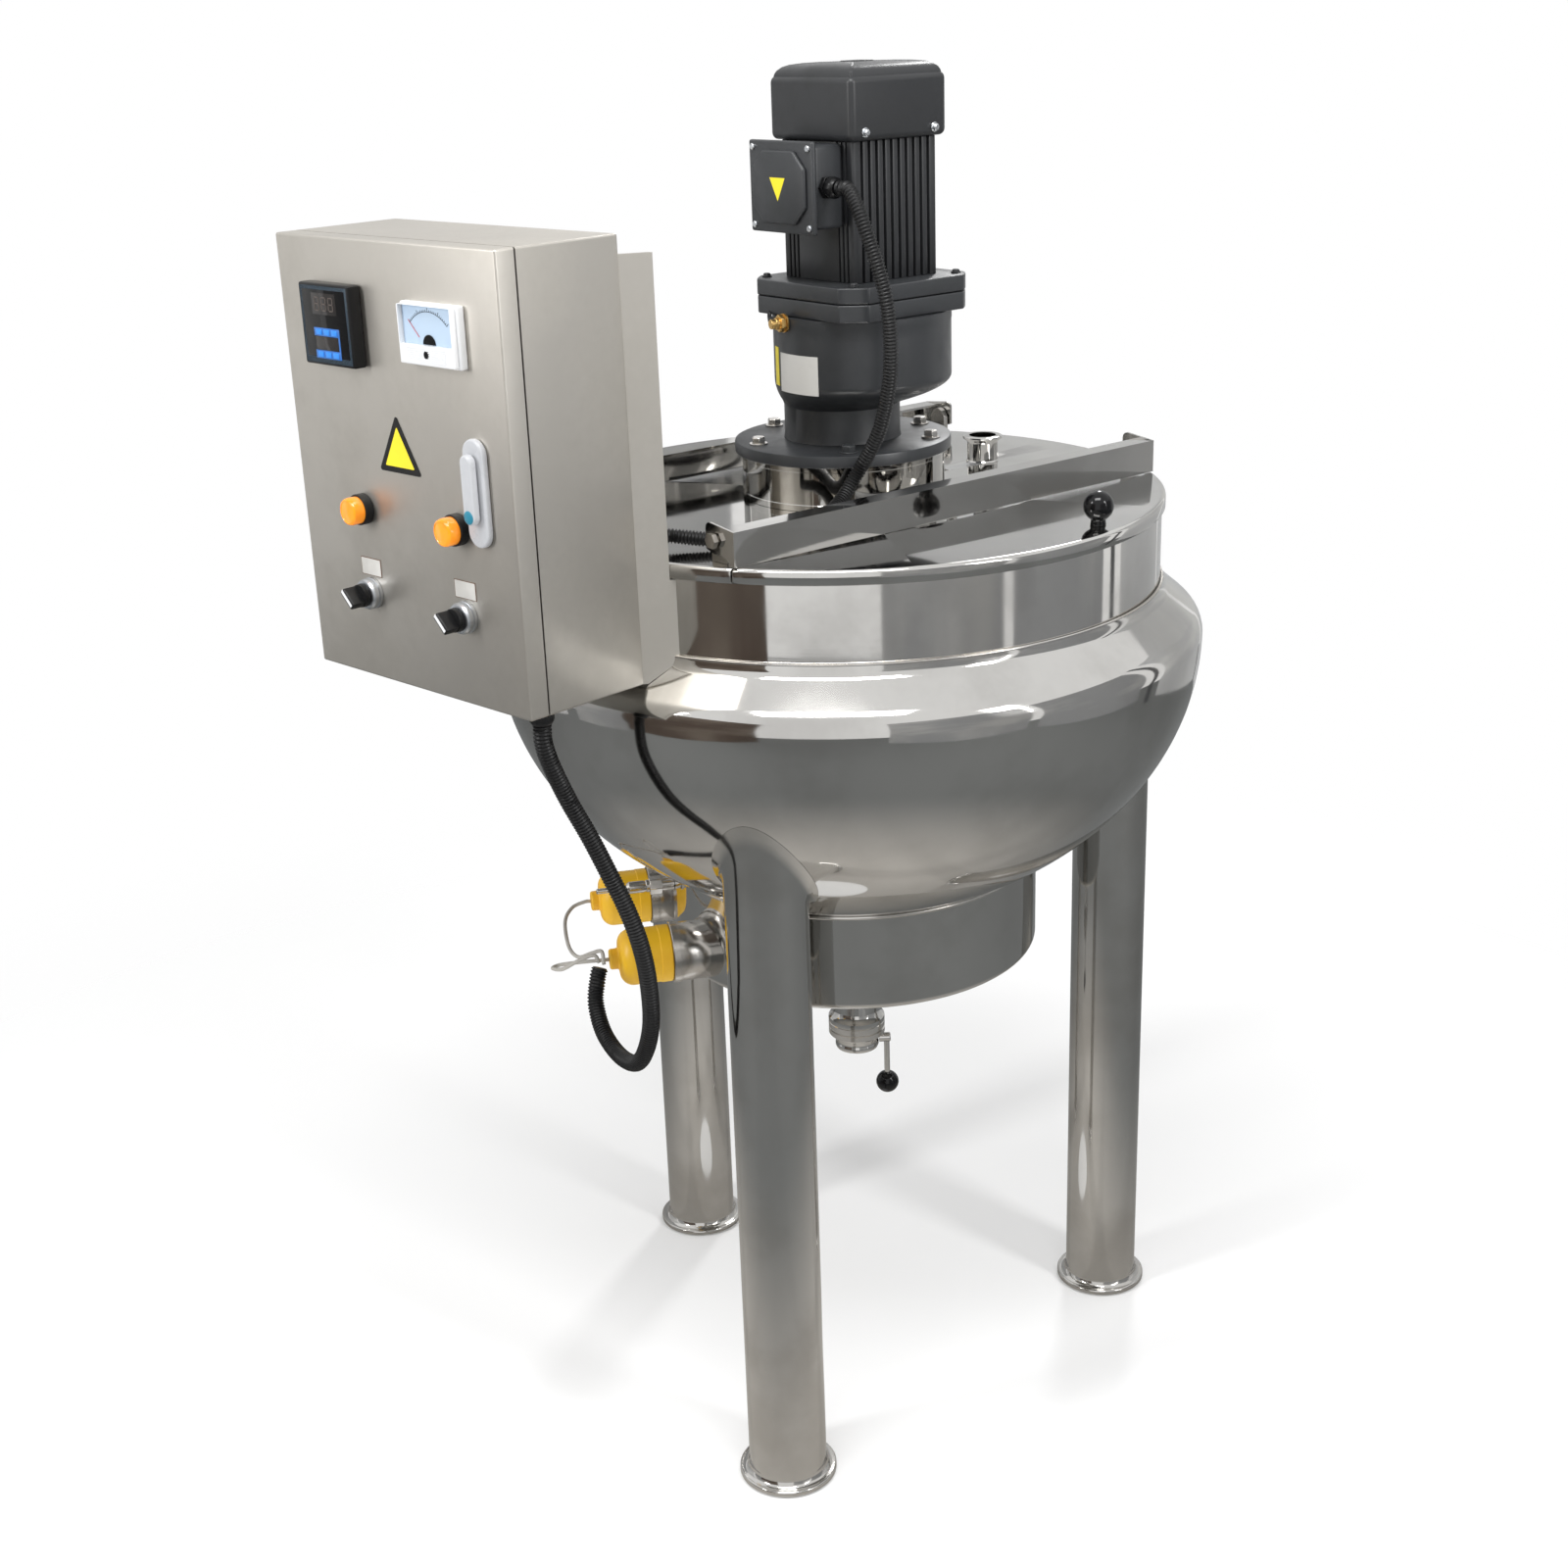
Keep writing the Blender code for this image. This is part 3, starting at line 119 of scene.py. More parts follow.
def lathe(name, profile, segments=96, at=axisAt, aim=(0, 0, 1), closed=False, capped=True, wall=0, angle=32):
    # rings of (radius, height, shift along x), each grown out of the last one
    deselectAll()
    rings = [(*ring, 0) if len(ring) == 2 else ring for ring in profile]
    if closed:
        rings.append(rings[0])
    ends = capped and not closed
    radius, height, shift = rings[0]
    bpy.ops.mesh.primitive_circle_add(vertices=segments, radius=radius, location=(shift, 0, height))
    piece = bpy.context.object
    piece.name = piece.data.name = name
    applyPlace(piece)
    editAll(piece)
    if ends:
        bpy.ops.mesh.edge_face_add()
        bpy.ops.mesh.select_all(action="SELECT")
        bpy.ops.mesh.select_mode(type="EDGE")
    for ring in rings[1:]:
        move = (ring[2] - shift, 0, ring[1] - height)
        bpy.ops.mesh.select_mode(type="VERT")
        bpy.ops.mesh.extrude_edges_move(TRANSFORM_OT_translate={"value": move})
        grow = ring[0] / radius
        if abs(grow - 1) > 0.00001:
            bpy.ops.transform.resize(value=(grow, grow, 1), center_override=(ring[2], 0, ring[1]))
        radius, height, shift = ring
    if ends:
        bpy.ops.mesh.edge_face_add()
    bpy.ops.object.mode_set(mode="OBJECT")
    outward(piece)
    if wall:
        giveWall(piece, wall)
    putAt(piece, at, aim)
    smooth(piece, angle)
    return piece


def block(name, size, centre, width=0.0, segments=3):
    deselectAll()
    bpy.ops.mesh.primitive_cube_add(size=1, location=centre)
    piece = bpy.context.object
    piece.name = piece.data.name = name
    piece.scale = size
    applyPlace(piece)
    if width:
        roundEdges(piece, width, segments)
    return piece


def meshPiece(name, points, faces):
    mesh = bpy.data.meshes.new(name)
    mesh.from_pydata(points, [], faces)
    piece = bpy.data.objects.new(name, mesh)
    bpy.context.scene.collection.objects.link(piece)
    return piece


def raised(name, points, move):
    # a flat outline, extruded
    piece = meshPiece(name, points, [list(range(len(points)))])
    editAll(piece)
    bpy.ops.mesh.extrude_region_move(TRANSFORM_OT_translate={"value": move})
    bpy.ops.object.mode_set(mode="OBJECT")
    outward(piece)
    return piece


def plateOutline(name, outline, at, thickness, width=0.0, segments=2):
    # a plate with an outline in x and z, facing -y, whose back is at its place
    piece = raised(name, [(x, 0, z) for x, z in outline], (0, -thickness, 0))
    if width:
        roundEdges(piece, width, segments)
    piece.location = at
    applyPlace(piece)
    return piece


def skinned(name, rings):
    # faces between rings of points, and one on each end
    count = len(rings[0])
    faces = [list(range(count))[::-1], [(len(rings) - 1) * count + j for j in range(count)]]
    for i in range(len(rings) - 1):
        for j in range(count):
            k = (j + 1) % count
            faces.append([i * count + j, i * count + k, (i + 1) * count + k, (i + 1) * count + j])
    piece = meshPiece(name, [point for ring in rings for point in ring], faces)
    outward(piece)
    return piece


def joined(name, *pieces):
    deselectAll()
    for piece in pieces:
        piece.select_set(True)
    bpy.context.view_layer.objects.active = pieces[0]
    bpy.ops.object.join()
    whole = bpy.context.object
    whole.name = whole.data.name = name
    return whole


def discard(piece):
    bpy.data.objects.remove(piece, do_unlink=True)


def copiesOf(piece, matrices, *looks):
    # numbered copies of one piece, which is then thrown away, with the finishes in turn
    for i, matrix in enumerate(matrices):
        made = piece.copy()
        made.data = piece.data.copy()
        made.name = made.data.name = f"{piece.name}_{i + 1}"
        bpy.context.scene.collection.objects.link(made)
        made.data.transform(matrix)
        dress(made, looks[i % len(looks)], "kettle")
    discard(piece)


def boolean(piece, other, operation):
    cut = piece.modifiers.new("cut", "BOOLEAN")
    cut.operation = operation
    cut.object = other
    cut.solver = "EXACT"
    applyAll(piece)
    discard(other)


def arc(centreX, centreZ, radius, start, end, count):
    turns = [math.radians(start + (end - start) * i / count) for i in range(count + 1)]
    return [(centreX + radius * math.cos(t), centreZ + radius * math.sin(t)) for t in turns]


def polar(radius, degrees, z=0.0):
    turn = math.radians(degrees)
    return Vector((radius * math.cos(turn), radius * math.sin(turn), z))


def heights(node):
    low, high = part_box(node)
    return low[2], high[2]


def dress(piece, finish, body, *replaced):
    piece.data.materials.clear()
    piece.data.materials.append(finishes[finish])
    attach(piece, body)
    if replaced:
        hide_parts(*replaced)
    return piece


def dressNodes(finish, *names):
    # nodes that are shown as they come
    for name in names:
        nodes[name].data.materials.clear()
        nodes[name].data.materials.append(finishes[finish])


# effects shared by the materials


def newNode(tree, kind, inputs=None, **settings):
    node = tree.nodes.new("ShaderNode" + kind)
    for name, value in settings.items():
        setattr(node, name, value)
    for socket, value in (inputs or {}).items():
        node.inputs[socket].default_value = value
    return node


def wire(tree, *links):
    # each link is a node and its output, then a node and its input
    for node, output, other, socket in links:
        tree.links.new(node.outputs[output], other.inputs[socket])


def newGroup(name, inputs, output):
    group = bpy.data.node_groups.new(name, "ShaderNodeTree")
    for socket, (kind, value) in inputs.items():
        made = group.interface.new_socket(name=socket, in_out="INPUT", socket_type="NodeSocket" + kind)
        made.default_value = value
    group.interface.new_socket(name=output, in_out="OUTPUT", socket_type="NodeSocketFloat")
    return group, group.nodes.new("NodeGroupInput"), group.nodes.new("NodeGroupOutput")


def rubbingMarks():
    # long fine lines along one direction, as height
    inputs = {"Stretch": ("Vector", (20, 20, 600)), "Detail": ("Float", 4)}
    group, start, end = newGroup("rubbingMarks", inputs, "Height")
    place = newNode(group, "TexCoord")
    stretch = newNode(group, "VectorMath", operation="MULTIPLY")
    noise = newNode(group, "TexNoise", {"Scale": 1})
    wire(group, (place, "Object", stretch, 0), (start, "Stretch", stretch, 1),
         (stretch, "Vector", noise, "Vector"), (start, "Detail", noise, "Detail"),
         (noise, "Fac", end, "Height"))
    return group


def handledFilm():
    # soft patches where hands and cloths have been, from 0 to 1
    inputs = {"Scale": ("Float", 9), "Low": ("Float", 0.42), "High": ("Float", 0.68)}
    group, start, end = newGroup("handledFilm", inputs, "Mask")
    place = newNode(group, "TexCoord")
    noise = newNode(group, "TexNoise", {"Detail": 5, "Roughness": 0.55})
    spread = newNode(group, "MapRange", interpolation_type="SMOOTHSTEP")
    wire(group, (place, "Object", noise, "Vector"), (start, "Scale", noise, "Scale"),
         (noise, "Fac", spread, "Value"), (start, "Low", spread, "From Min"),
         (start, "High", spread, "From Max"), (spread, "Result", end, "Mask"))
    return group


def fineSpeckle():
    # the close pebbling of sprayed or moulded surfaces, as height
    group, start, end = newGroup("fineSpeckle", {"Scale": ("Float", 900)}, "Height")
    place = newNode(group, "TexCoord")
    noise = newNode(group, "TexNoise", {"Detail": 2})
    wire(group, (place, "Object", noise, "Vector"), (start, "Scale", noise, "Scale"),
         (noise, "Fac", end, "Height"))
    return group


marksGroup = rubbingMarks()
filmGroup = handledFilm()
speckleGroup = fineSpeckle()


def newMaterial(name, colour, roughness, metallic=0.0):
    material = bpy.data.materials.new(name)
    material.use_nodes = True
    shader = material.node_tree.nodes["Principled BSDF"]
    shader.inputs["Base Color"].default_value = (*colour, 1)
    shader.inputs["Roughness"].default_value = roughness
    shader.inputs["Metallic"].default_value = metallic
    return material, material.node_tree, shader


def addGroup(tree, group, **values):
    return newNode(tree, "Group", values, node_tree=group)


def tinted(tree, mask, output, shader, first, second):
    mix = newNode(tree, "Mix", {"A": (*first, 1), "B": (*second, 1)}, data_type="RGBA")
    wire(tree, (mask, output, mix, "Factor"), (mix, "Result", shader, "Base Color"))


def surface(name, light, dark, roughness, metallic, film, relief, bump):
    # colour and roughness change with the film, and the relief is a bump over all
    material, tree, shader = newMaterial(name, light, roughness[0], metallic)
    mask = addGroup(tree, filmGroup, Scale=film)
    group, values = relief
    height = addGroup(tree, group, **values)
    tinted(tree, mask, "Mask", shader, light, dark)
    spread = newNode(tree, "MapRange", {"To Min": roughness[0], "To Max": roughness[1]})
    strength, distance = bump
    bumpNode = newNode(tree, "Bump", {"Strength": strength, "Distance": distance})
    wire(tree, (mask, "Mask", spread, "Value"), (spread, "Result", shader, "Roughness"),
         (height, "Height", bumpNode, "Height"), (bumpNode, "Normal", shader, "Normal"))
    return material


def polishedMetal(name, light, dark, roughness, stretch, bump):
    relief = (marksGroup, {"Stretch": stretch})
    return surface(name, light, dark, roughness, 1.0, 7.0, relief, (bump, 0.0006))


def paintOrPlastic(name, light, dark, roughness, speckle, bump):
    relief = (speckleGroup, {"Scale": speckle})
    return surface(name, light, dark, roughness, 0.0, 14.0, relief, (bump, 0.0004))


print("effects ready")

# light and dark colour, roughness from and to, the marks' stretch and their strength
metals = {
    "mirrorSteel": ((0.62, 0.61, 0.59), (0.52, 0.51, 0.49), (0.05, 0.10), (3, 3, 60), 0.05),
    "tubeSteel": ((0.60, 0.59, 0.57), (0.50, 0.485, 0.46), (0.07, 0.14), (300, 300, 2), 0.05),
    "satinSteel": ((0.63, 0.60, 0.55), (0.53, 0.505, 0.46), (0.42, 0.52), (9, 9, 5), 0.03),
    "fittingSteel": ((0.72, 0.70, 0.67), (0.52, 0.49, 0.45), (0.16, 0.30), (150, 150, 150), 0.12),
    "zincPlate": ((0.70, 0.72, 0.74), (0.50, 0.52, 0.55), (0.22, 0.36), (400, 400, 400), 0.15),
    "yellowBrass": ((0.78, 0.53, 0.22), (0.60, 0.38, 0.13), (0.20, 0.34), (300, 300, 300), 0.12),
}
# light and dark colour, roughness from and to, the speckle's scale and its strength
paints = {
    "gearPaint": ((0.031, 0.033, 0.036), (0.023, 0.025, 0.027), (0.34, 0.48), 1300.0, 0.10),
    "motorPaint": ((0.020, 0.021, 0.023), (0.014, 0.015, 0.016), (0.36, 0.50), 1600.0, 0.08),
    "blackPlastic": ((0.005, 0.005, 0.0055), (0.009, 0.009, 0.0095), (0.30, 0.44), 2200.0, 0.05),
    "conduitPlastic": ((0.007, 0.007, 0.0075), (0.012, 0.012, 0.0125), (0.38, 0.52), 900.0, 0.06),
    "glossBlack": ((0.002, 0.002, 0.0025), (0.004, 0.004, 0.0045), (0.06, 0.12), 400.0, 0.01),
    "capYellow": ((0.86, 0.50, 0.015), (0.78, 0.42, 0.010), (0.38, 0.52), 1500.0, 0.08),
    "labelYellow": ((0.90, 0.74, 0.02), (0.84, 0.68, 0.02), (0.35, 0.45), 800.0, 0.02),
    "labelSilver": ((0.62, 0.61, 0.58), (0.50, 0.49, 0.46), (0.30, 0.42), 700.0, 0.03),
    "whitePlastic": ((0.78, 0.79, 0.80), (0.72, 0.73, 0.74), (0.28, 0.38), 1800.0, 0.03),
    "dialWhite": ((0.46, 0.58, 0.72), (0.42, 0.54, 0.69), (0.35, 0.42), 900.0, 0.01),
    "buttonBlue": ((0.03, 0.14, 0.45), (0.025, 0.11, 0.38), (0.32, 0.42), 1500.0, 0.03),
    "labelBrown": ((0.17, 0.10, 0.065), (0.13, 0.08, 0.05), (0.35, 0.45), 700.0, 0.02),
    "keyBright": ((0.03, 0.24, 0.75), (0.028, 0.20, 0.66), (0.30, 0.40), 1500.0, 0.03),
    "keyBlue": ((0.02, 0.22, 0.32), (0.015, 0.18, 0.27), (0.30, 0.40), 1500.0, 0.03),
    "windowDark": ((0.020, 0.017, 0.016), (0.026, 0.022, 0.020), (0.10, 0.16), 600.0, 0.01),
    "segmentGrey": ((0.085, 0.068, 0.060), (0.07, 0.056, 0.05), (0.25, 0.35), 600.0, 0.01),
    "slateFace": ((0.055, 0.085, 0.115), (0.045, 0.07, 0.10), (0.32, 0.42), 1500.0, 0.03),
    "scaleRed": ((0.60, 0.03, 0.03), (0.5, 0.02, 0.02), (0.4, 0.5), 900.0, 0.01),
    "lockSilver": ((0.50, 0.51, 0.53), (0.44, 0.45, 0.47), (0.22, 0.32), 1500.0, 0.03),
    "leadGrey": ((0.44, 0.42, 0.38), (0.34, 0.32, 0.29), (0.5, 0.62), 2500.0, 0.25),
}
for looks, make in ((metals, polishedMetal), (paints, paintOrPlastic)):
    for name, look in looks.items():
        finishes[name] = make(name, *look)
for name in ("glossBlack", "blackPlastic", "conduitPlastic"):
    finishes[name].node_tree.nodes["Principled BSDF"].inputs["Specular IOR Level"].default_value = 0.32


def amberLens():
    material, tree, shader = newMaterial("amberLens", (0.95, 0.30, 0.012), 0.16)
    shader.inputs["Coat Weight"].default_value = 0.6
    shader.inputs["Coat Roughness"].default_value = 0.05
    shader.inputs["Emission Strength"].default_value = 0.22
    shader.inputs["Emission Color"].default_value = (1.0, 0.28, 0.01, 1)
    film = addGroup(tree, filmGroup, Scale=60.0)
    tinted(tree, film, "Mask", shader, (0.95, 0.31, 0.012), (0.90, 0.24, 0.008))
    return material


finishes["amberPlastic"] = amberLens()
print("materials ready")

# camera

camera = {
    "place": (1.6476, -1.3927, 1.4840),
    "right": (0.62854, 0.77706, -0.03343),
    "up": (-0.25172, 0.24391, 0.93656),
    "forward": (-0.73592, 0.58025, -0.34890),
    "lens": 48.16,
}
cameraData = bpy.data.cameras.new("photoCamera")
cameraData.sensor_width = 36
cameraData.lens = camera["lens"]
photoCamera = bpy.data.objects.new("photoCamera", cameraData)
bpy.context.scene.collection.objects.link(photoCamera)
view = Matrix((camera["right"], camera["up"], [-v for v in camera["forward"]])).transposed()
photoCamera.matrix_world = Matrix.Translation(Vector(camera["place"]) + axisAt) @ view.to_4x4()
bpy.context.scene.camera = photoCamera

# cords first, because their spread is measured

conduit = {
    "heaterRadius": 0.0088, "motorRadius": 0.0072, "pitch": 0.0033, "groove": 0.0014, "sides": 20,
    "leadRadius": 0.0021, "leadSides": 12, "leadStep": 0.002, "tipGap": 0.0009,
}
gland = {"length": 0.018, "radius": 0.0118, "motorRadius": 0.0102, "flange": 0.0003}
cabinet = {
    "x": -0.0503, "y": -0.3597, "z": 0.8935, "turn": 7.8,
    "motorGland": (0.105, 0.129), "heaterGland": (0.126, -0.0995),
}
cabinetTurn = Matrix.Rotation(math.radians(cabinet["turn"]), 3, "Z")
cabinetAt = Vector((cabinet["x"], cabinet["y"] + kettleY, cabinet["z"]))


def cabinetPoint(x, y, z):
    return cabinetTurn @ Vector((x, y, z)) + cabinetAt


def alongAxis(points):
    return [Vector(point) + axisAt for point in points]


def smoothPath(points, spacing):
    # a smooth curve through the points, in equal steps
    pieces = 24  # fine steps between two points
    ends = [points[0] * 2 - points[1], *points, points[-1] * 2 - points[-2]]
    fine = []
    for a, b, c, d in zip(ends, ends[1:], ends[2:], ends[3:]):
        for i in range(pieces):
            t = i / pieces
            bend = (2 * a - 5 * b + 4 * c - d) * t * t + (3 * b - a - 3 * c + d) * t * t * t
            fine.append(0.5 * (2 * b + (c - a) * t + bend))
    fine.append(ends[-2])
    lengths = [0.0]
    for a, b in zip(fine, fine[1:]):
        lengths.append(lengths[-1] + (b - a).length)
    count = max(2, round(lengths[-1] / spacing))
    path = []
    k = 0
    for i in range(count + 1):
        wanted = lengths[-1] * i / count
        while k < len(fine) - 2 and lengths[k + 1] < wanted:
            k += 1
        path.append(fine[k].lerp(fine[k + 1], (wanted - lengths[k]) / (lengths[k + 1] - lengths[k])))
    return path


def tubeAlong(name, path, radii, sides):
    # one ring of points for each step of the path, turned with it
    side = (path[1] - path[0]).normalized().orthogonal().normalized()
    rings = []
    for i, centre in enumerate(path):
        ahead = (path[min(i + 1, len(path) - 1)] - path[max(i - 1, 0)]).normalized()
        side = (side - ahead * side.dot(ahead)).normalized()
        other = ahead.cross(side)
        turns = [2 * math.pi * j / sides for j in range(sides)]
        rings.append([centre + (side * math.cos(t) + other * math.sin(t)) * radii[i] for t in turns])
    piece = skinned(name, rings)
    smooth(piece, 60)
    return piece


def corrugated(name, route, radius):
    # two steps of the path in the groove, then two on the rib
    path = smoothPath(route, conduit["pitch"] / 4)
    valley = radius - conduit["groove"]
    shape = (valley, radius, radius, valley)
    return tubeAlong(name, path, [shape[i % 4] for i in range(len(path))], conduit["sides"]), path


motorGlandTip = Vector((0.0893, -0.0736 + kettleY, 1.319))
leave = gland["length"] + conduit["tipGap"]
motorStart = motorGlandTip + Vector((conduit["tipGap"], 0, 0))
gx, gz = cabinet["motorGland"]
motorRoute = [motorStart, motorStart + Vector((0.005, 0, 0))] + alongAxis([
    (0.106, -0.074, 1.3165), (0.124, -0.0735, 1.288), (0.144, -0.065, 1.222), (0.146, -0.062, 1.157),
    (0.132, -0.062, 1.102), (0.117, -0.066, 1.071), (0.104, -0.074, 1.046), (0.105, -0.095, 1.025),
    (0.119, -0.135, 1.0155), (0.126, -0.180, 1.0145), (0.121, -0.215, 1.0145), (0.102, -0.250, 1.0155),
    (0.075, -0.276, 1.019)]) + [cabinetPoint(gx, leave + 0.020, gz), cabinetPoint(gx, leave, gz)]
gx, gy = cabinet["heaterGland"]
heaterRoute = [cabinetPoint(gx, gy, -leave), cabinetPoint(gx, gy, -leave - 0.018)] + alongAxis([
    (0.0875, -0.434, 0.832), (0.0890, -0.4195, 0.795), (0.0970, -0.4040, 0.756), (0.1056, -0.390, 0.715),
    (0.115, -0.380, 0.681), (0.1216, -0.372, 0.645), (0.1211, -0.365, 0.605), (0.1151, -0.360, 0.557),
    (0.0959, -0.355, 0.516), (0.0691, -0.350, 0.488), (0.0294, -0.343, 0.478), (-0.0093, -0.336, 0.487),
    (-0.0336, -0.328, 0.5095), (-0.0397, -0.320, 0.533), (-0.0413, -0.315, 0.544)])
frontLeadRoute = alongAxis([
    (-0.0589, -0.2919, 0.540), (-0.0618, -0.2975, 0.540), (-0.074, -0.309, 0.538), (-0.092, -0.320, 0.533),
    (-0.102, -0.329, 0.530), (-0.098, -0.338, 0.531), (-0.080, -0.337, 0.536), (-0.062, -0.328, 0.549),
    (-0.050, -0.316, 0.5555), (-0.0455, -0.3127, 0.5478)])
rearLeadRoute = alongAxis([
    (-0.2015, -0.2193, 0.540), (-0.2044, -0.2249, 0.540), (-0.208, -0.240, 0.536), (-0.196, -0.258, 0.528),
    (-0.150, -0.284, 0.522), (-0.105, -0.301, 0.530), (-0.070, -0.306, 0.548), (-0.048, -0.3075, 0.5580),
    (-0.0385, -0.3115, 0.5478)])


def layConduit(name, node, route, radius):
    piece, path = corrugated(name, route, radius)
    dress(piece, "conduitPlastic", "kettle", node)


def layLead(name, node, route):
    path = smoothPath(route, conduit["leadStep"])
    piece = tubeAlong(name, path, [conduit["leadRadius"]] * len(path), conduit["leadSides"])
    dress(piece, "leadGrey", "kettle", node)


layConduit("motorConduitHose", "motor_conduit", motorRoute, conduit["motorRadius"])
layConduit("heaterConduitHose", "heater_conduit", heaterRoute, conduit["heaterRadius"])
layLead("frontLead", "heater_lead_front", frontLeadRoute)
layLead("rearLead", "heater_lead_rear", rearLeadRoute)
print("conduits laid")

# pot, jacket, drum and legs

pot = {
    "radius": 0.327, "wall": 0.003, "top": 0.9962, "rim": 0.01, "waist": 0.93,
    "dishTop": 0.860, "dishDepth": 0.205, "dishSteps": 31, "sides": 160,
}
jacket = {
    "radius": 0.372, "widest": 0.860, "depth": 0.298, "endRadius": 0.195, "neckFillet": 0.016,
    "shoulderFillet": 0.030, "slope": 40.0, "gap": 0.0003, "weld": 0.0014,
}
drum = {"radius": 0.202, "bottom": 0.502, "edge": 0.008, "outlet": 0.0258, "sides": 128, "weld": 0.0022}
leg = {
    "circle": 0.3015, "radius": 0.0415, "foot": 0.052, "footHeight": 0.007, "fillet": 0.008, "sides": 72,
    "angles": {"leg_front": -56.6, "leg_right": 63.4, "leg_left": 183.4},
    # how far the top flares out, and how far below the jacket it does so
    "flare": [(0.0, 0.040), (0.0, 0.020), (0.0008, 0.011), (0.0024, 0.006), (0.0052, 0.0025),
              (0.0095, 0.0004)],
}


def jacketProfile():
    # the neck's fillet, a straight slope, the shoulder and then the elliptical dish
    slope = math.radians(jacket["slope"])
    fillet, shoulder = jacket["neckFillet"], jacket["shoulderFillet"]
    neckX = pot["radius"] + jacket["gap"] + pot["wall"] + fillet
    bulgeX = jacket["radius"] - shoulder
    lineX = bulgeX + shoulder * math.sin(slope)
    lineZ = jacket["widest"] + shoulder * math.cos(slope)
    neckZ = lineZ + (lineX - neckX + fillet * math.sin(slope)) * math.tan(slope) + fillet * math.cos(slope)
    points = arc(neckX, neckZ, fillet, 180, 270 - jacket["slope"], 12)
    points += arc(bulgeX, jacket["widest"], shoulder, 90 - jacket["slope"], 0, 14)
    last = math.acos(jacket["endRadius"] / jacket["radius"])
    for i in range(1, 41):
        turn = last * i / 40
        drop = jacket["depth"] * math.sin(turn)
        points.append((jacket["radius"] * math.cos(turn), jacket["widest"] - drop))
    return points


def jacketHeight(radius):
    return jacket["widest"] - jacket["depth"] * math.sqrt(max(0, 1 - (radius / jacket["radius"]) ** 2))


def sheetShell(name, profile, sides, node):
    skin = lathe(name, profile, sides, capped=False, wall=pot["wall"], angle=60)
    dress(skin, "mirrorSteel", "kettle", node)


sheetShell("jacketShell", jacketProfile(), pot["sides"], "jacket_shell")
rim = pot["radius"]
potProfile = [(rim, pot["top"]), (rim, pot["top"] - pot["rim"]), (rim, pot["waist"])]
for i in range(pot["dishSteps"]):
    turn = math.radians(90 * i / pot["dishSteps"])
    potProfile.append((rim * math.cos(turn), pot["dishTop"] - pot["dishDepth"] * math.sin(turn)))
sheetShell("potShell", potProfile, pot["sides"], "inner_pot")
neckX, neckZ = jacketProfile()[0]
weldRing = arc(neckX - 0.0012, neckZ + 0.0003, jacket["weld"], -60, 200, 8)
dress(lathe("neckWeld", weldRing, pot["sides"], closed=True), "fittingSteel", "kettle")
drumTop = jacketHeight(drum["radius"] - pot["wall"]) - 0.0006
drumProfile = [(drum["radius"], drumTop), (drum["radius"], 0.56)]
drumProfile += arc(drum["radius"] - drum["edge"], drum["bottom"] + drum["edge"], drum["edge"], 0, -90, 8)
drumProfile += [(0.12, drum["bottom"]), (drum["outlet"], drum["bottom"])]
sheetShell("drumShell", drumProfile, drum["sides"], "heater_drum")
weldRing = arc(drum["radius"] - 0.0008, drumTop, drum["weld"], -100, 100, 8)
dress(lathe("drumSeam", weldRing, drum["sides"], closed=True), "fittingSteel", "kettle")


def legTube(name, degrees):
    # a tube whose top flares out into the jacket, above a turned foot
    centre = polar(leg["circle"], degrees)
    foot, footTop, fillet = leg["foot"], leg["footHeight"], leg["fillet"]
    profile = [(foot - 0.0015, 0), (foot, 0.0015), (foot, footTop - 0.001), (foot - 0.001, footTop)]
    profile += arc(leg["radius"] + fillet, footTop + fillet, fillet, 180, 270, 6)[::-1]
    turns = [360 * j / leg["sides"] for j in range(leg["sides"])]
    rings = [[centre + polar(radius, turn, z) for turn in turns] for radius, z in profile]
    for grow, drop in leg["flare"]:
        ring = [centre + polar(leg["radius"] + grow, turn) for turn in turns]
        for spot in ring:
            spot.z = jacketHeight(min(spot.length, jacket["radius"] - 0.0006)) - drop
        rings.append(ring)
    piece = skinned(name, [[point + axisAt for point in ring] for ring in rings])
    smooth(piece, 50)
    return piece


for node, degrees in leg["angles"].items():
    dress(legTube(node + "_tube", degrees), "tubeSteel", "kettle", node)
print("pot, jacket and legs made")

# lid, bars and what stands on them

lid = {
    "radius": 0.3305, "top": 1.006, "skirt": 0.0145, "edge": 0.0045, "split": 0.173, "seam": 0.0015,
    "sheet": 0.003, "inletAt": 0.200, "bore": 0.0145,
}


def lidDisc(name):
    rim, z, sheet = lid["radius"], lid["top"], lid["sheet"]
    low = z - lid["skirt"]
    profile = [(0.02, z), (0.20, z)] + arc(rim - lid["edge"], z - lid["edge"], lid["edge"], 90, 0, 8)
    profile += [(rim, low + 0.0012), (rim - 0.0008, low), (rim - 0.0022, low), (rim - sheet, low + 0.0008)]
    profile += [(rim - sheet, z - lid["edge"] - 0.002), (rim - 0.005, z - sheet), (0.02, z - sheet)]
    return lathe(name, profile, 160, closed=True, angle=50)


def lidPart(name, keptWidth, keptX):
    # what a box as long as the lid leaves of the disc
    part = lidDisc(name)
    boolean(part, block("cutter", (keptWidth, 1, 0.2), (keptX, kettleY, lid["top"])), "INTERSECT")
    return part


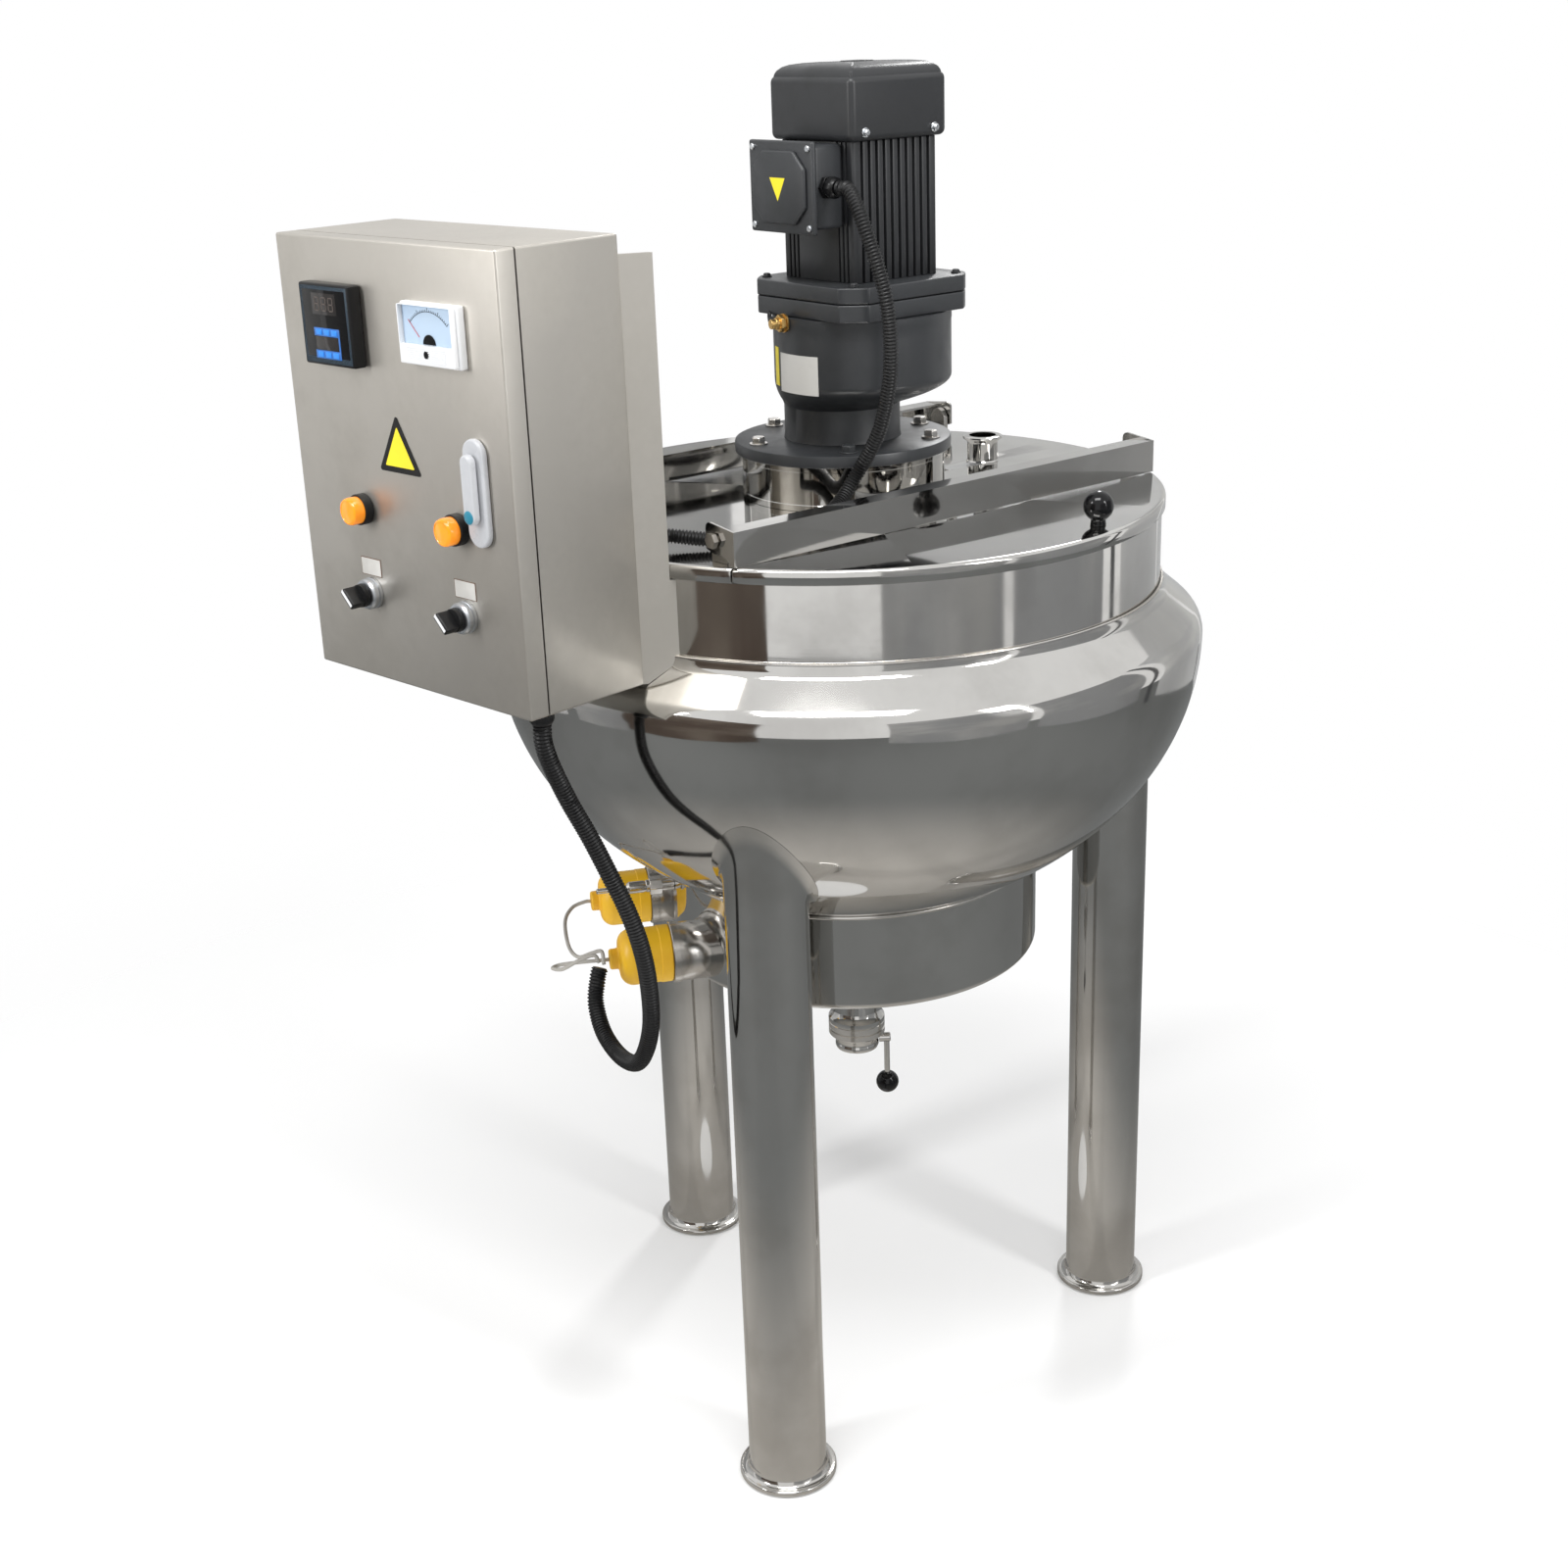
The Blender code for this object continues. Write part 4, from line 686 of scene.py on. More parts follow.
bridge = lidPart("lidBridge", 2 * (lid["split"] - lid["seam"]), 0)
inletAt = (0, kettleY + lid["inletAt"], 0)
boolean(bridge, lathe("cutter", [(lid["bore"], 0.95), (lid["bore"], 1.05)], 48, at=inletAt), "DIFFERENCE")
roundEdges(bridge, 0.0005, 2)
dress(bridge, "mirrorSteel", "kettle", "lid_bridge")
for side, sign in (("right", 1), ("left", -1)):
    flap = lidPart("lidFlap_" + side, 1, sign * (lid["split"] + 0.5))
    roundEdges(flap, 0.0005, 2)
    dress(flap, "mirrorSteel", "flap_" + side, "lid_flap_" + side)
    dressNodes("mirrorSteel", "flap_bar_" + side)
    dressNodes("fittingSteel", f"hinge_lug_{side}_front", f"hinge_lug_{side}_back")
    low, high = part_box("flap_knob_" + side)
    centre = [(a + b) / 2 for a, b in zip(low, high)]
    radius = (high[0] - low[0]) / 2
    ball = [(0.0008, high[2])] + arc(0, high[2] - radius, radius, 87, -60, 22)
    ball += [(0.0072, low[2] + 0.003), (0.0078, low[2] + 0.0008), (0.0074, low[2])]
    knob = lathe("lidKnob_" + side, ball, 48, at=(centre[0], centre[1], 0), angle=60)
    dress(knob, "glossBlack", "flap_" + side, "flap_knob_" + side)

z0, z1 = heights("inlet_ferrule")
ferrule = [(lid["bore"], z1), (0.0196, z1), (0.0210, z1 - 0.0006), (0.0215, z1 - 0.0020),
           (0.0208, z1 - 0.0034), (0.0175, z1 - 0.0058), (0.0165, z1 - 0.008), (0.0165, z0 + 0.0015),
           (0.0175, z0), (lid["bore"], z0)]
inlet = lathe("inletFerrule", ferrule, 64, at=inletAt, closed=True)
dress(inlet, "mirrorSteel", "kettle", "inlet_ferrule")
print("lid made")

# gearmotor

gear = {
    "pedestal": 0.105, "pedestalWall": 0.004, "flange": 0.1115, "shaftBore": 0.0145, "neck": 0.060,
    "neckHeight": 0.036, "taper": 0.030, "taperSteps": 12, "housing": 0.0897, "shift": 0.034,
    "boltCircle": 0.094, "flangeBolts": (127, 190, 254, 323, 32, 80), "adapterBolts": (45, 135, 225, 315),
    "adapterSeam": 0.0175, "seamHalf": 0.0004,
}
# across the flats, the head's height and the washer's radius
bolts = {
    "flangeBolt": (0.0125, 0.0065, 0.0095),
    "adapterBolt": (0.007, 0.0025, 0.0050),
    "hoodScrew": (0.0062, 0.0032, 0.0046),
}
gearCentre = Vector((gear["shift"], kettleY, 0))
z0, z1 = heights("motor_pedestal")
rim = gear["pedestal"]
inner = rim - gear["pedestalWall"]
ring = [(rim, z0), (rim, z0 + 0.006), (rim - 0.0004, z0 + 0.0065), (rim - 0.0004, z1 - 0.006),
        (rim, z1 - 0.0055), (rim, z1), (inner, z1), (inner, z0)]
dress(lathe("motorPedestal", ring, closed=True), "mirrorSteel", "kettle", "motor_pedestal")
z0, flangeTop = heights("mounting_flange")
rim = gear["flange"]
ring = [(gear["shaftBore"], flangeTop), (0.066, flangeTop), (rim - 0.0022, flangeTop),
        (rim - 0.0006, flangeTop - 0.0007), (rim, flangeTop - 0.0022), (rim, z0 + 0.001), (rim - 0.001, z0),
        (gear["shaftBore"], z0)]
dress(lathe("mountingFlange", ring, closed=True), "gearPaint", "kettle", "mounting_flange")


def hexBolt(name):
    # a six-sided head with a rounded crown, standing on its washer at the origin
    across, head, washer = bolts[name]
    disc = [(washer - 0.0003, 0), (washer, 0.0004), (washer, 0.0012), (washer - 0.0004, 0.0016)]
    plate = lathe(name + "Washer", disc, 32, at=(0, 0, 0))
    radius = across / math.sqrt(3)
    top = 0.0014 + head
    outline = [(radius, 0.0014), (radius, top - 0.0010), (radius - 0.0012, top)]
    crown = lathe(name + "Head", outline, 6, at=(0, 0, 0))
    roundEdges(crown, 0.0004, 2)
    return joined(name, plate, crown)


def boltRing(name, centre, z, angles, *looks):
    spots = [Matrix.Translation(Vector(centre) + polar(gear["boltCircle"], degrees, z)) for degrees in angles]
    copiesOf(hexBolt(name), spots, *looks)


boltRing("flangeBolt", axisAt, flangeTop, gear["flangeBolts"], "gearPaint", "fittingSteel", "fittingSteel")

z0, z1 = heights("gear_housing")
neck, full = gear["neck"], gear["housing"]
neckTop = z0 + gear["neckHeight"]
housing = [(neck + 0.0004, z0, 0), (neck - 0.0006, z0 + 0.004, 0), (neck - 0.0006, neckTop - 0.002, 0)]
for i in range(1, gear["taperSteps"] + 1):
    share = i / gear["taperSteps"]
    eased = math.sin(share * math.pi / 2)
    grown = neck + (full - neck) * eased - 0.0004
    housing.append((grown, neckTop + gear["taper"] * share, gear["shift"] * eased))
housing += [(full - 0.0004, z1 - 0.020, gear["shift"]), (full - 0.0004, z1 - 0.010, gear["shift"]),
            (full, z1 - 0.0085, gear["shift"]), (full, z1, gear["shift"])]
dress(lathe("gearHousing", housing, angle=40), "gearPaint", "kettle", "gear_housing")


def flangeWithFlats(name, radius, flat, z0, z1):
    disc = lathe(name, [(radius, z0), (radius, z1)], at=gearCentre)
    middle = gearCentre + Vector((0, 0, (z0 + z1) / 2))
    boolean(disc, block("cutter", (2 * flat, 2 * flat, 0.2), middle), "INTERSECT")
    return roundEdges(disc, 0.0022, 3, 20)


z0, z1 = heights("adapter_ring")
seam = z0 + gear["adapterSeam"]
lower = flangeWithFlats("adapterLower", 0.1032, 0.0828, z0, seam - gear["seamHalf"])
upper = flangeWithFlats("adapterUpper", 0.1035, 0.0830, seam + gear["seamHalf"], z1)
dress(joined("adapterFlanges", lower, upper), "gearPaint", "kettle", "adapter_ring")
boltRing("adapterBolt", gearCentre, z1, gear["adapterBolts"], "motorPaint")

motor = {
    "half": 0.0535, "groove": 0.009, "pitch": 0.0094, "gap": 0.0034, "panel": 0.030, "narrow": 0.0062,
    "draft": 0.0003, "hoodCorner": 0.0065, "hoodCrown": 0.012,
    # the hood's top: the share of its width and the rise of each step
    "crown": ((0.990, 0.0026), (0.962, 0.0030), (0.91, 0.0026), (0.82, 0.0019), (0.66, 0.0012),
              (0.44, 0.0006), (0.20, 0.0001)),
    "screwAcross": 0.044, "screwHeight": 0.008,
}


def motorOutline():
    half, deep, draft = motor["half"], motor["half"] - motor["groove"], motor["draft"]
    outline = []
    for quarter in range(4):
        start, step, gap = (motor["pitch"] - motor["gap"]) / 2, motor["pitch"], motor["gap"]
        if quarter == 0:
            # the side under the terminal box is smooth in the middle, with narrow ribs beside it
            start, step, gap = motor["panel"], motor["narrow"], motor["gap"] * 0.7
        side = []
        while start + gap < half - 0.003:
            end = start + gap
            side += [(start, -half), (start + draft, -deep), (end - draft, -deep), (end, -half)]
            start += step
        side.append((half - 0.002, -half))
        turn = math.radians(90 * quarter)
        for x, y in [(-x, y) for x, y in reversed(side)] + side:
            outline.append((x * math.cos(turn) - y * math.sin(turn), x * math.sin(turn) + y * math.cos(turn)))
    return outline


z0, z1 = heights("motor_body")
barrel = raised("motorBarrel", [gearCentre + Vector((x, y, z0)) for x, y in motorOutline()], (0, 0, z1 - z0))
roundEdges(barrel, 0.0004, 2)
dress(barrel, "motorPaint", "kettle", "motor_body")


def makeHood():
    low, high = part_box("fan_hood")
    size = high[0] - low[0]
    height = high[2] - low[2] - motor["hoodCrown"]
    centre = ((low[0] + high[0]) / 2, (low[1] + high[1]) / 2, low[2] + height / 2)
    hood = block("fanHood", (size, size, height), centre)
    editAll(hood)
    bpy.ops.mesh.select_all(action="DESELECT")
    bpy.ops.object.mode_set(mode="OBJECT")
    for edge in hood.data.edges:
        a, b = (hood.data.vertices[v].co for v in edge.vertices)
        edge.select = abs(a.z - b.z) > height / 2  # the four upright corners
    bpy.ops.object.mode_set(mode="EDIT")
    bpy.ops.mesh.bevel(offset=motor["hoodCorner"], segments=6, affect="EDGES")
    bpy.ops.mesh.select_all(action="DESELECT")
    bpy.ops.object.mode_set(mode="OBJECT")
    for face in hood.data.polygons:
        face.select = face.normal.z > 0.9
    bpy.ops.object.mode_set(mode="EDIT")
    bpy.ops.mesh.select_mode(type="FACE")
    share = 1.0
    for part, rise in motor["crown"]:
        grow = part / share
        bpy.ops.mesh.extrude_region_move(TRANSFORM_OT_translate={"value": (0, 0, rise)})
        bpy.ops.transform.resize(value=(grow, grow, 1), center_override=(centre[0], centre[1], 0))
        share = part
    bpy.ops.object.mode_set(mode="OBJECT")
    smooth(hood, 35)
    dress(hood, "motorPaint", "kettle", "fan_hood")
    # two screws on each side that faces along x
    spots = []
    for sign in (1, -1):
        turn = Matrix.Rotation(math.radians(90) * sign, 4, "Y")
        for across in (-motor["screwAcross"], motor["screwAcross"]):
            spot = Vector((sign * (size / 2 - 0.0002), across, low[2] + motor["screwHeight"]))
            spots.append(Matrix.Translation(gearCentre + spot) @ turn)
    copiesOf(hexBolt("hoodScrew"), spots, "zincPlate")


makeHood()

terminal = {
    "coverDepth": 0.010, "cover": 0.0055, "caseInset": 0.004, "raisedInset": 0.009, "raised": 0.0046,
    "cornerCut": 0.016, "screwInset": 0.0065, "mark": [(-0.0115, 0.009), (0.0115, 0.009), (0, -0.0125)],
}


def cutCorners(halfX, halfZ, cut):
    corners = [(-halfX + cut, -halfZ), (halfX - cut, -halfZ), (halfX, -halfZ + cut), (halfX, halfZ - cut)]
    return corners + [(-x, -z) for x, z in corners]


def makeTerminalBox():
    low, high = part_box("terminal_box")
    x, z = (low[0] + high[0]) / 2, (low[2] + high[2]) / 2
    back, front = high[1], low[1]
    halfX, halfZ = (high[0] - low[0]) / 2, (high[2] - low[2]) / 2
    joint = front + terminal["coverDepth"]
    raisedAt = (x, joint - terminal["cover"] + 0.0001, z)
    inset = 2 * terminal["caseInset"]
    caseSize = (2 * halfX - inset, back - joint, 2 * halfZ - inset)
    case = block("terminalCase", caseSize, (x, (back + joint) / 2, z), 0.004, 4)
    coverSize = (2 * halfX, terminal["cover"], 2 * halfZ)
    base = block("terminalCover", coverSize, (x, joint - terminal["cover"] / 2, z), 0.0022, 3)
    inset = terminal["raisedInset"]
    outline = cutCorners(halfX - inset, halfZ - inset, terminal["cornerCut"])
    top = plateOutline("terminalRaised", outline, raisedAt, terminal["raised"], 0.0018, 3)
    dress(joined("terminalBox", case, base, top), "gearPaint", "kettle", "terminal_box")
    screw = lathe("terminalScrew", [(0.0032, 0), (0.0032, 0.0012), (0.0024, 0.0020)], 24, at=(0, 0, 0))
    reachX, reachZ = halfX - terminal["screwInset"], halfZ - terminal["screwInset"]
    spots = [Vector(raisedAt) + Vector((i * reachX, 0, j * reachZ)) for i in (-1, 1) for j in (-1, 1)]
    turn = Matrix.Rotation(math.radians(90), 4, "X")
    copiesOf(screw, [Matrix.Translation(spot) @ turn for spot in spots], "zincPlate")
    mark = plateOutline("terminalMarkEdge", terminal["mark"], (x, front + 0.0001, z), 0.0002)
    dress(mark, "labelYellow", "kettle")


makeTerminalBox()


def makeGland(name, at, aim, radius, node):
    nut = lathe(name + "Nut", [(radius * 1.12, 0), (radius * 1.12, 0.006)], 6, at=(0, 0, 0))
    roundEdges(nut, 0.0006, 2)
    body = [(radius * 0.84, 0.006), (radius * 0.84, 0.0078), (radius * 0.98, 0.0082), (radius, 0.009),
            (radius, 0.0135), (radius * 0.9, 0.0160), (radius * 0.78, 0.0178)]
    cone = lathe(name + "Dome", body, 12, at=(0, 0, 0), angle=25)
    piece = joined(name, nut, cone)
    putAt(piece, at, aim)
    dress(piece, "blackPlastic", "kettle", node)


gx, gz = cabinet["motorGland"]
backAt = cabinetPoint(gx, gland["flange"], gz)
gx, gy = cabinet["heaterGland"]
underAt = cabinetPoint(gx, gy, -gland["flange"])
motorAt = motorGlandTip - Vector((gland["length"], 0, 0))
makeGland("motorGlandNut", motorAt, (1, 0, 0), gland["motorRadius"], "motor_gland")
makeGland("cabinetGlandNut", backAt, cabinetTurn @ Vector((0, 1, 0)), gland["radius"], "cabinet_gland")
makeGland("heaterGlandNut", underAt, (0, 0, -1), gland["radius"], "heater_gland")

plug = {
    "angle": -98, "reach": 0.0903, "z": 1.190, "strapReach": 0.0935, "strapZ": 1.192, "strapDrop": 0.0002,
    "ringAngle": -119, "strapFrom": -115.5, "strapStep": 1.35, "strapPoints": 9, "strapRadius": 0.0017,
}


def makePlug():
    way = polar(1, plug["angle"])
    at = gearCentre + polar(plug["reach"], plug["angle"], plug["z"])
    washer = lathe("plugWasher", [(0.0092, 0), (0.0092, 0.0018)], 32, at=at, aim=way)
    nut = lathe("plugHex", [(0.0088, 0.0018), (0.0088, 0.0072)], 6, at=at, aim=way)
    roundEdges(nut, 0.0007, 2)
    shape = [(0.0056, 0.0070), (0.0056, 0.0105), (0.0048, 0.0112), (0.0048, 0.0155), (0.0040, 0.0160)]
    stem = lathe("plugStem", shape, 24, at=at, aim=way)
    dress(joined("ventPlug", washer, nut, stem), "yellowBrass", "kettle", "vent_plug")


def makePlugStrap():
    # the plug's black strap, with the ring at its end
    reach, angle, z = plug["strapReach"], plug["ringAngle"], plug["strapZ"]
    shape = arc(0.0052, 0, 0.0014, 0, 330, 12)
    at = gearCentre + polar(reach, angle, z)
    ring = lathe("strapRing", shape, 32, at=at, aim=polar(1, angle), closed=True)
    path = []
    for i in range(plug["strapPoints"]):
        angle = plug["strapFrom"] + i * plug["strapStep"]
        path.append(gearCentre + polar(reach, angle, z - plug["strapDrop"] * i))
    strap = tubeAlong("strapTube", path, [plug["strapRadius"]] * len(path), 12)
    dress(joined("plugStrap", ring, strap), "blackPlastic", "kettle")


def bentPlate(name, degrees, z, width, height, finish):
    # a thin plate round the housing
    rings = []
    for i in range(11):
        angle = degrees + (i / 10 - 0.5) * math.degrees(width / full)
        rings.append([gearCentre + polar(full - inset, angle, z + up) for inset, up in (
            (0.0006, -height / 2), (0.0006, height / 2), (0.0001, height / 2), (0.0001, -height / 2))])
    plate = skinned(name, rings)
    smooth(plate, 40)
    dress(plate, finish, "kettle")


makePlug()
makePlugStrap()
bentPlate("ratingPlate", -88, 1.141, 0.056, 0.038, "labelSilver")
bentPlate("sidePlate", -113, 1.145, 0.011, 0.038, "labelYellow")
print("gearmotor made")

# drain and heaters

outlet = {"inner": 0.0235, "outer": 0.0255, "clamp": 0.032, "neck": 0.0195, "disc": 0.002}
lever = {"angle": 51.0, "reach": 0.034, "drop": 0.046, "ball": 0.013, "rod": 0.0032, "hubAt": 0.0252}
bore, clampRim = outlet["inner"], outlet["clamp"]
z0, z1 = heights("outlet_pipe")
pipe = [(bore, z1), (outlet["outer"], z1), (outlet["outer"], z0 + 0.014), (0.0270, z0 + 0.0095),
        (0.0305, z0 + 0.0064), (0.0318, z0 + 0.0052), (clampRim, z0 + 0.0035), (clampRim, z0), (bore, z0)]
dress(lathe("drainPipe", pipe, 64, closed=True), "mirrorSteel", "kettle", "outlet_pipe")
z0, z1 = heights("outlet_clamp")
middle = (z0 + z1) / 2
band = [(bore, z1), (0.0312, z1), (clampRim, z1 - 0.001), (clampRim, middle + 0.0016),
        (0.0304, middle + 0.0008), (0.0304, middle - 0.0008), (clampRim, middle - 0.0016),
        (clampRim, z0 + 0.001), (0.0312, z0), (bore, z0)]
dress(lathe("drainClamp", band, 64, closed=True), "fittingSteel", "kettle", "outlet_clamp")
z0, z1 = heights("outlet_valve")
middle = (z0 + z1) / 2
top, bottom = middle + outlet["disc"], middle - outlet["disc"]
body = [(0.0005, top), (outlet["neck"], top), (0.0215, z1), (0.0236, z1), (0.0247, z1 - 0.0015),
        (0.0247, middle + 0.003), (0.0238, middle + 0.0015), (0.0238, middle - 0.0015),
        (0.0247, middle - 0.003), (0.0247, z0 + 0.003), (0.0238, z0 + 0.0008), (0.0222, z0),
        (0.0205, z0 + 0.0008), (outlet["neck"], bottom), (0.0005, bottom)]
dress(lathe("drainValve", body, 64), "mirrorSteel", "kettle", "outlet_valve")
way = polar(1, lever["angle"])
centre = Vector((0, kettleY, middle))
hubShape = [(0.0054, 0), (0.0054, 0.0120), (0.0044, 0.0132)]
hub = lathe("leverHub", hubShape, 32, at=centre + way * lever["hubAt"], aim=way)
grip = centre + way * lever["reach"]
stemShape = [(lever["rod"], 0.0), (lever["rod"], lever["drop"] + 0.002)]
stem = lathe("leverStem", stemShape, 24, at=grip, aim=(0, 0, -1))
dress(joined("drainLever", hub, stem), "mirrorSteel", "drain_lever", "valve_lever")
grip.z = heights("valve_lever")[0] + lever["ball"]
ballShape = [(0.005, lever["ball"] * 0.92)] + arc(0, 0, lever["ball"], 66, -88, 22)
dress(lathe("leverBall", ballShape, 40, at=grip, angle=60), "glossBlack", "drain_lever")

heater = {
    "angle": -117.0, "offset": 0.080, "z": 0.540, "socket": 0.032, "socketWall": 0.003, "collar": 0.028,
    "nut": 0.0325, "nutWall": 0.008, "nutAt": 0.0272, "nutLength": 0.0082, "cap": 0.0305, "capAt": 0.0358,
}
way = polar(1, heater["angle"])
across = Vector((-way.y, way.x, 0))
chord = math.sqrt(drum["radius"] ** 2 - heater["offset"] ** 2)


def makeHeater(side, sign):
    # a socket cut to the drum, its nut and the yellow cap
    origin = across * heater["offset"] * sign + Vector((0, kettleY, heater["z"]))
    r, wall = heater["socket"], heater["socketWall"]
    start, end = chord - 0.040, chord + heater["collar"]
    socket = [(r - 0.0005, start), (r - 0.0005, end - 0.002), (r, end - 0.0015), (r, end), (r - wall, end),
              (r - wall, start)]
    tube = lathe(f"heaterSocket_{side}Tube", socket, 64, at=origin, aim=way, closed=True)
    inside = drum["radius"] - 0.002
    boolean(tube, lathe("cutter", [(inside, 0.44), (inside, 0.64)]), "DIFFERENCE")
    r, wall = heater["nut"], heater["nutWall"]
    start = chord + heater["nutAt"]
    end = start + heater["nutLength"]
    shape = [(r - 0.0008, start), (r, start + 0.0008), (r, end - 0.0008), (r - 0.0008, end), (r - wall, end),
             (r - wall, start)]
    nut = lathe("nutRing", shape, 64, at=origin, aim=way, closed=True)
    dress(joined(f"heaterSocket_{side}", tube, nut), "fittingSteel", "kettle", f"heater_socket_{side}")
    r, start = heater["cap"], chord + heater["capAt"]
    cap = [(r - 0.0008, start), (r, start + 0.001), (r, start + 0.012), (r - 0.0005, start + 0.0125),
           (r - 0.0005, start + 0.036)] + arc(r - 0.0145, start + 0.041, 0.014, 0, 72, 10)
    cap += [(0.0128, start + 0.0552), (0.0112, start + 0.057), (0.0110, start + 0.0635),
            (0.0100, start + 0.0648)]
    shell = lathe(f"heaterCap_{side}Shell", cap, 64, at=origin, aim=way)
    dress(shell, "capYellow", "kettle", f"heater_cap_{side}")


def makeProbe():
    probeZ = sum(corner[2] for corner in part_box("oil_probe")) / 2
    origin = Vector((0, kettleY, probeZ)) + way * (drum["radius"] + 0.0003)
    boss = lathe("probeBoss", [(0.007, 0), (0.007, 0.013)], 32, at=origin, aim=way)
    hexNut = lathe("probeHex", [(0.0102, 0.013), (0.0102, 0.027)], 6, at=origin, aim=way)
    roundEdges(hexNut, 0.0008, 2)
    shape = [(0.0068, 0.027), (0.0068, 0.030), (0.0058, 0.031), (0.0066, 0.034), (0.0066, 0.049),
             (0.0045, 0.052)]
    collar = lathe("probeCollar", shape, 32, at=origin, aim=way)
    rod = lathe("probeRod", [(0.003, 0.051), (0.003, 0.084), (0.0022, 0.085)], 24, at=origin, aim=way)
    dress(joined("oilProbe", boss, hexNut, collar, rod), "fittingSteel", "kettle", "oil_probe")


makeHeater("front", 1)
makeHeater("rear", -1)
makeProbe()
print("drain and heaters made")

# control cabinet, modelled straight and then turned to its place

panel = {
    "width": 0.315, "height": 0.409, "depth": 0.1147, "skin": 0.0014, "door": 0.0205,
    "gap": 0.0018, "edge": 0.0022, "seal": 0.006, "sealInset": 0.010, "sealWidth": 0.018,
}
cabinetMatrix = Matrix.Translation(cabinetAt) @ cabinetTurn.to_4x4()
wide, deep, tall = panel["width"], panel["depth"], panel["height"]
face = -deep - panel["gap"] - panel["door"]  # the door's front


def inCabinet(piece, finish, body, *replaced):
    piece.data.transform(cabinetMatrix)
    return dress(piece, finish, body, *replaced)


def openTray(name, size, centre, openSign):
    # a folded box of sheet, open towards -y or +y
    tray = block(name, size, centre)
    editAll(tray)
    bpy.ops.mesh.select_all(action="DESELECT")
    bpy.ops.object.mode_set(mode="OBJECT")
    for polygon in tray.data.polygons:
        polygon.select = polygon.normal.y * openSign > 0.9
    bpy.ops.object.mode_set(mode="EDIT")
    bpy.ops.mesh.select_mode(type="FACE")
    bpy.ops.mesh.delete(type="FACE")
    bpy.ops.mesh.select_all(action="SELECT")
    bpy.ops.mesh.bevel(offset=panel["edge"], segments=4, affect="EDGES")
    bpy.ops.object.mode_set(mode="OBJECT")
    giveWall(tray, panel["skin"])
    smooth(tray, 40)
    return tray


shell = openTray("cabinetShell", (wide, deep, tall), (0, -deep / 2, tall / 2), -1)
inCabinet(shell, "satinSteel", "kettle", "cabinet_body")
door = openTray("doorPanel", (wide, panel["door"], tall), (0, face + panel["door"] / 2, tall / 2), 1)
inCabinet(door, "satinSteel", "door", "cabinet_door")
sealWide, sealTall = wide - panel["sealInset"], tall - panel["sealInset"]
seal = block("doorSeal", (sealWide, panel["seal"], sealTall), (0, -deep - 0.0042, tall / 2))
holeSize = (sealWide - panel["sealWidth"], 0.1, sealTall - panel["sealWidth"])
boolean(seal, block("cutter", holeSize, (0, -deep, tall / 2)), "DIFFERENCE")
inCabinet(seal, "blackPlastic", "door")
dressNodes("satinSteel", "mounting_plate", "door_hinge_lower", "door_hinge_upper", "bracket_arm_right",
           "bracket_arm_left")
dressNodes("tubeSteel", "agitator")


def onDoor(name, size, x, z, lift, depth, finish, width=0.0008):
    # a small block standing on the door's face from lift to lift + depth
    piece = block(name, (size[0], depth, size[1]), (x, face - lift - depth / 2, z), width, 2)
    return inCabinet(piece, finish, "door")


controller = {
    "x": -0.071, "z": 0.333, "w": 0.075, "h": 0.073, "d": 0.014, "rear": 0.045, "gap": 0.0003,
    "digits": 3, "digitPitch": 0.0105, "digitWide": 0.0062, "digitTall": 0.0115, "readout": 0.0185,
    "rows": {"upper": -0.0065, "lower": -0.0265}, "keys": 3, "keyFrom": -0.0110, "keyPitch": 0.0115,
}


def segmentDigit(x, z, lift):
    # seven bars: three lying ones and four upright ones
    across, tall = controller["digitWide"], controller["digitTall"]
    thick = across * 0.16
    bars = []
    for dz in (0.5, 0, -0.5):
        bars.append(block("bar", (across - thick, 0.0002, thick), (x, face - lift, z + dz * tall)))
    for dx, dz in ((-0.5, 0.25), (0.5, 0.25), (-0.5, -0.25), (0.5, -0.25)):
        spot = (x + dx * across, face - lift, z + dz * tall)
        bars.append(block("bar", (thick, 0.0002, tall / 2 - thick), spot))
    return bars


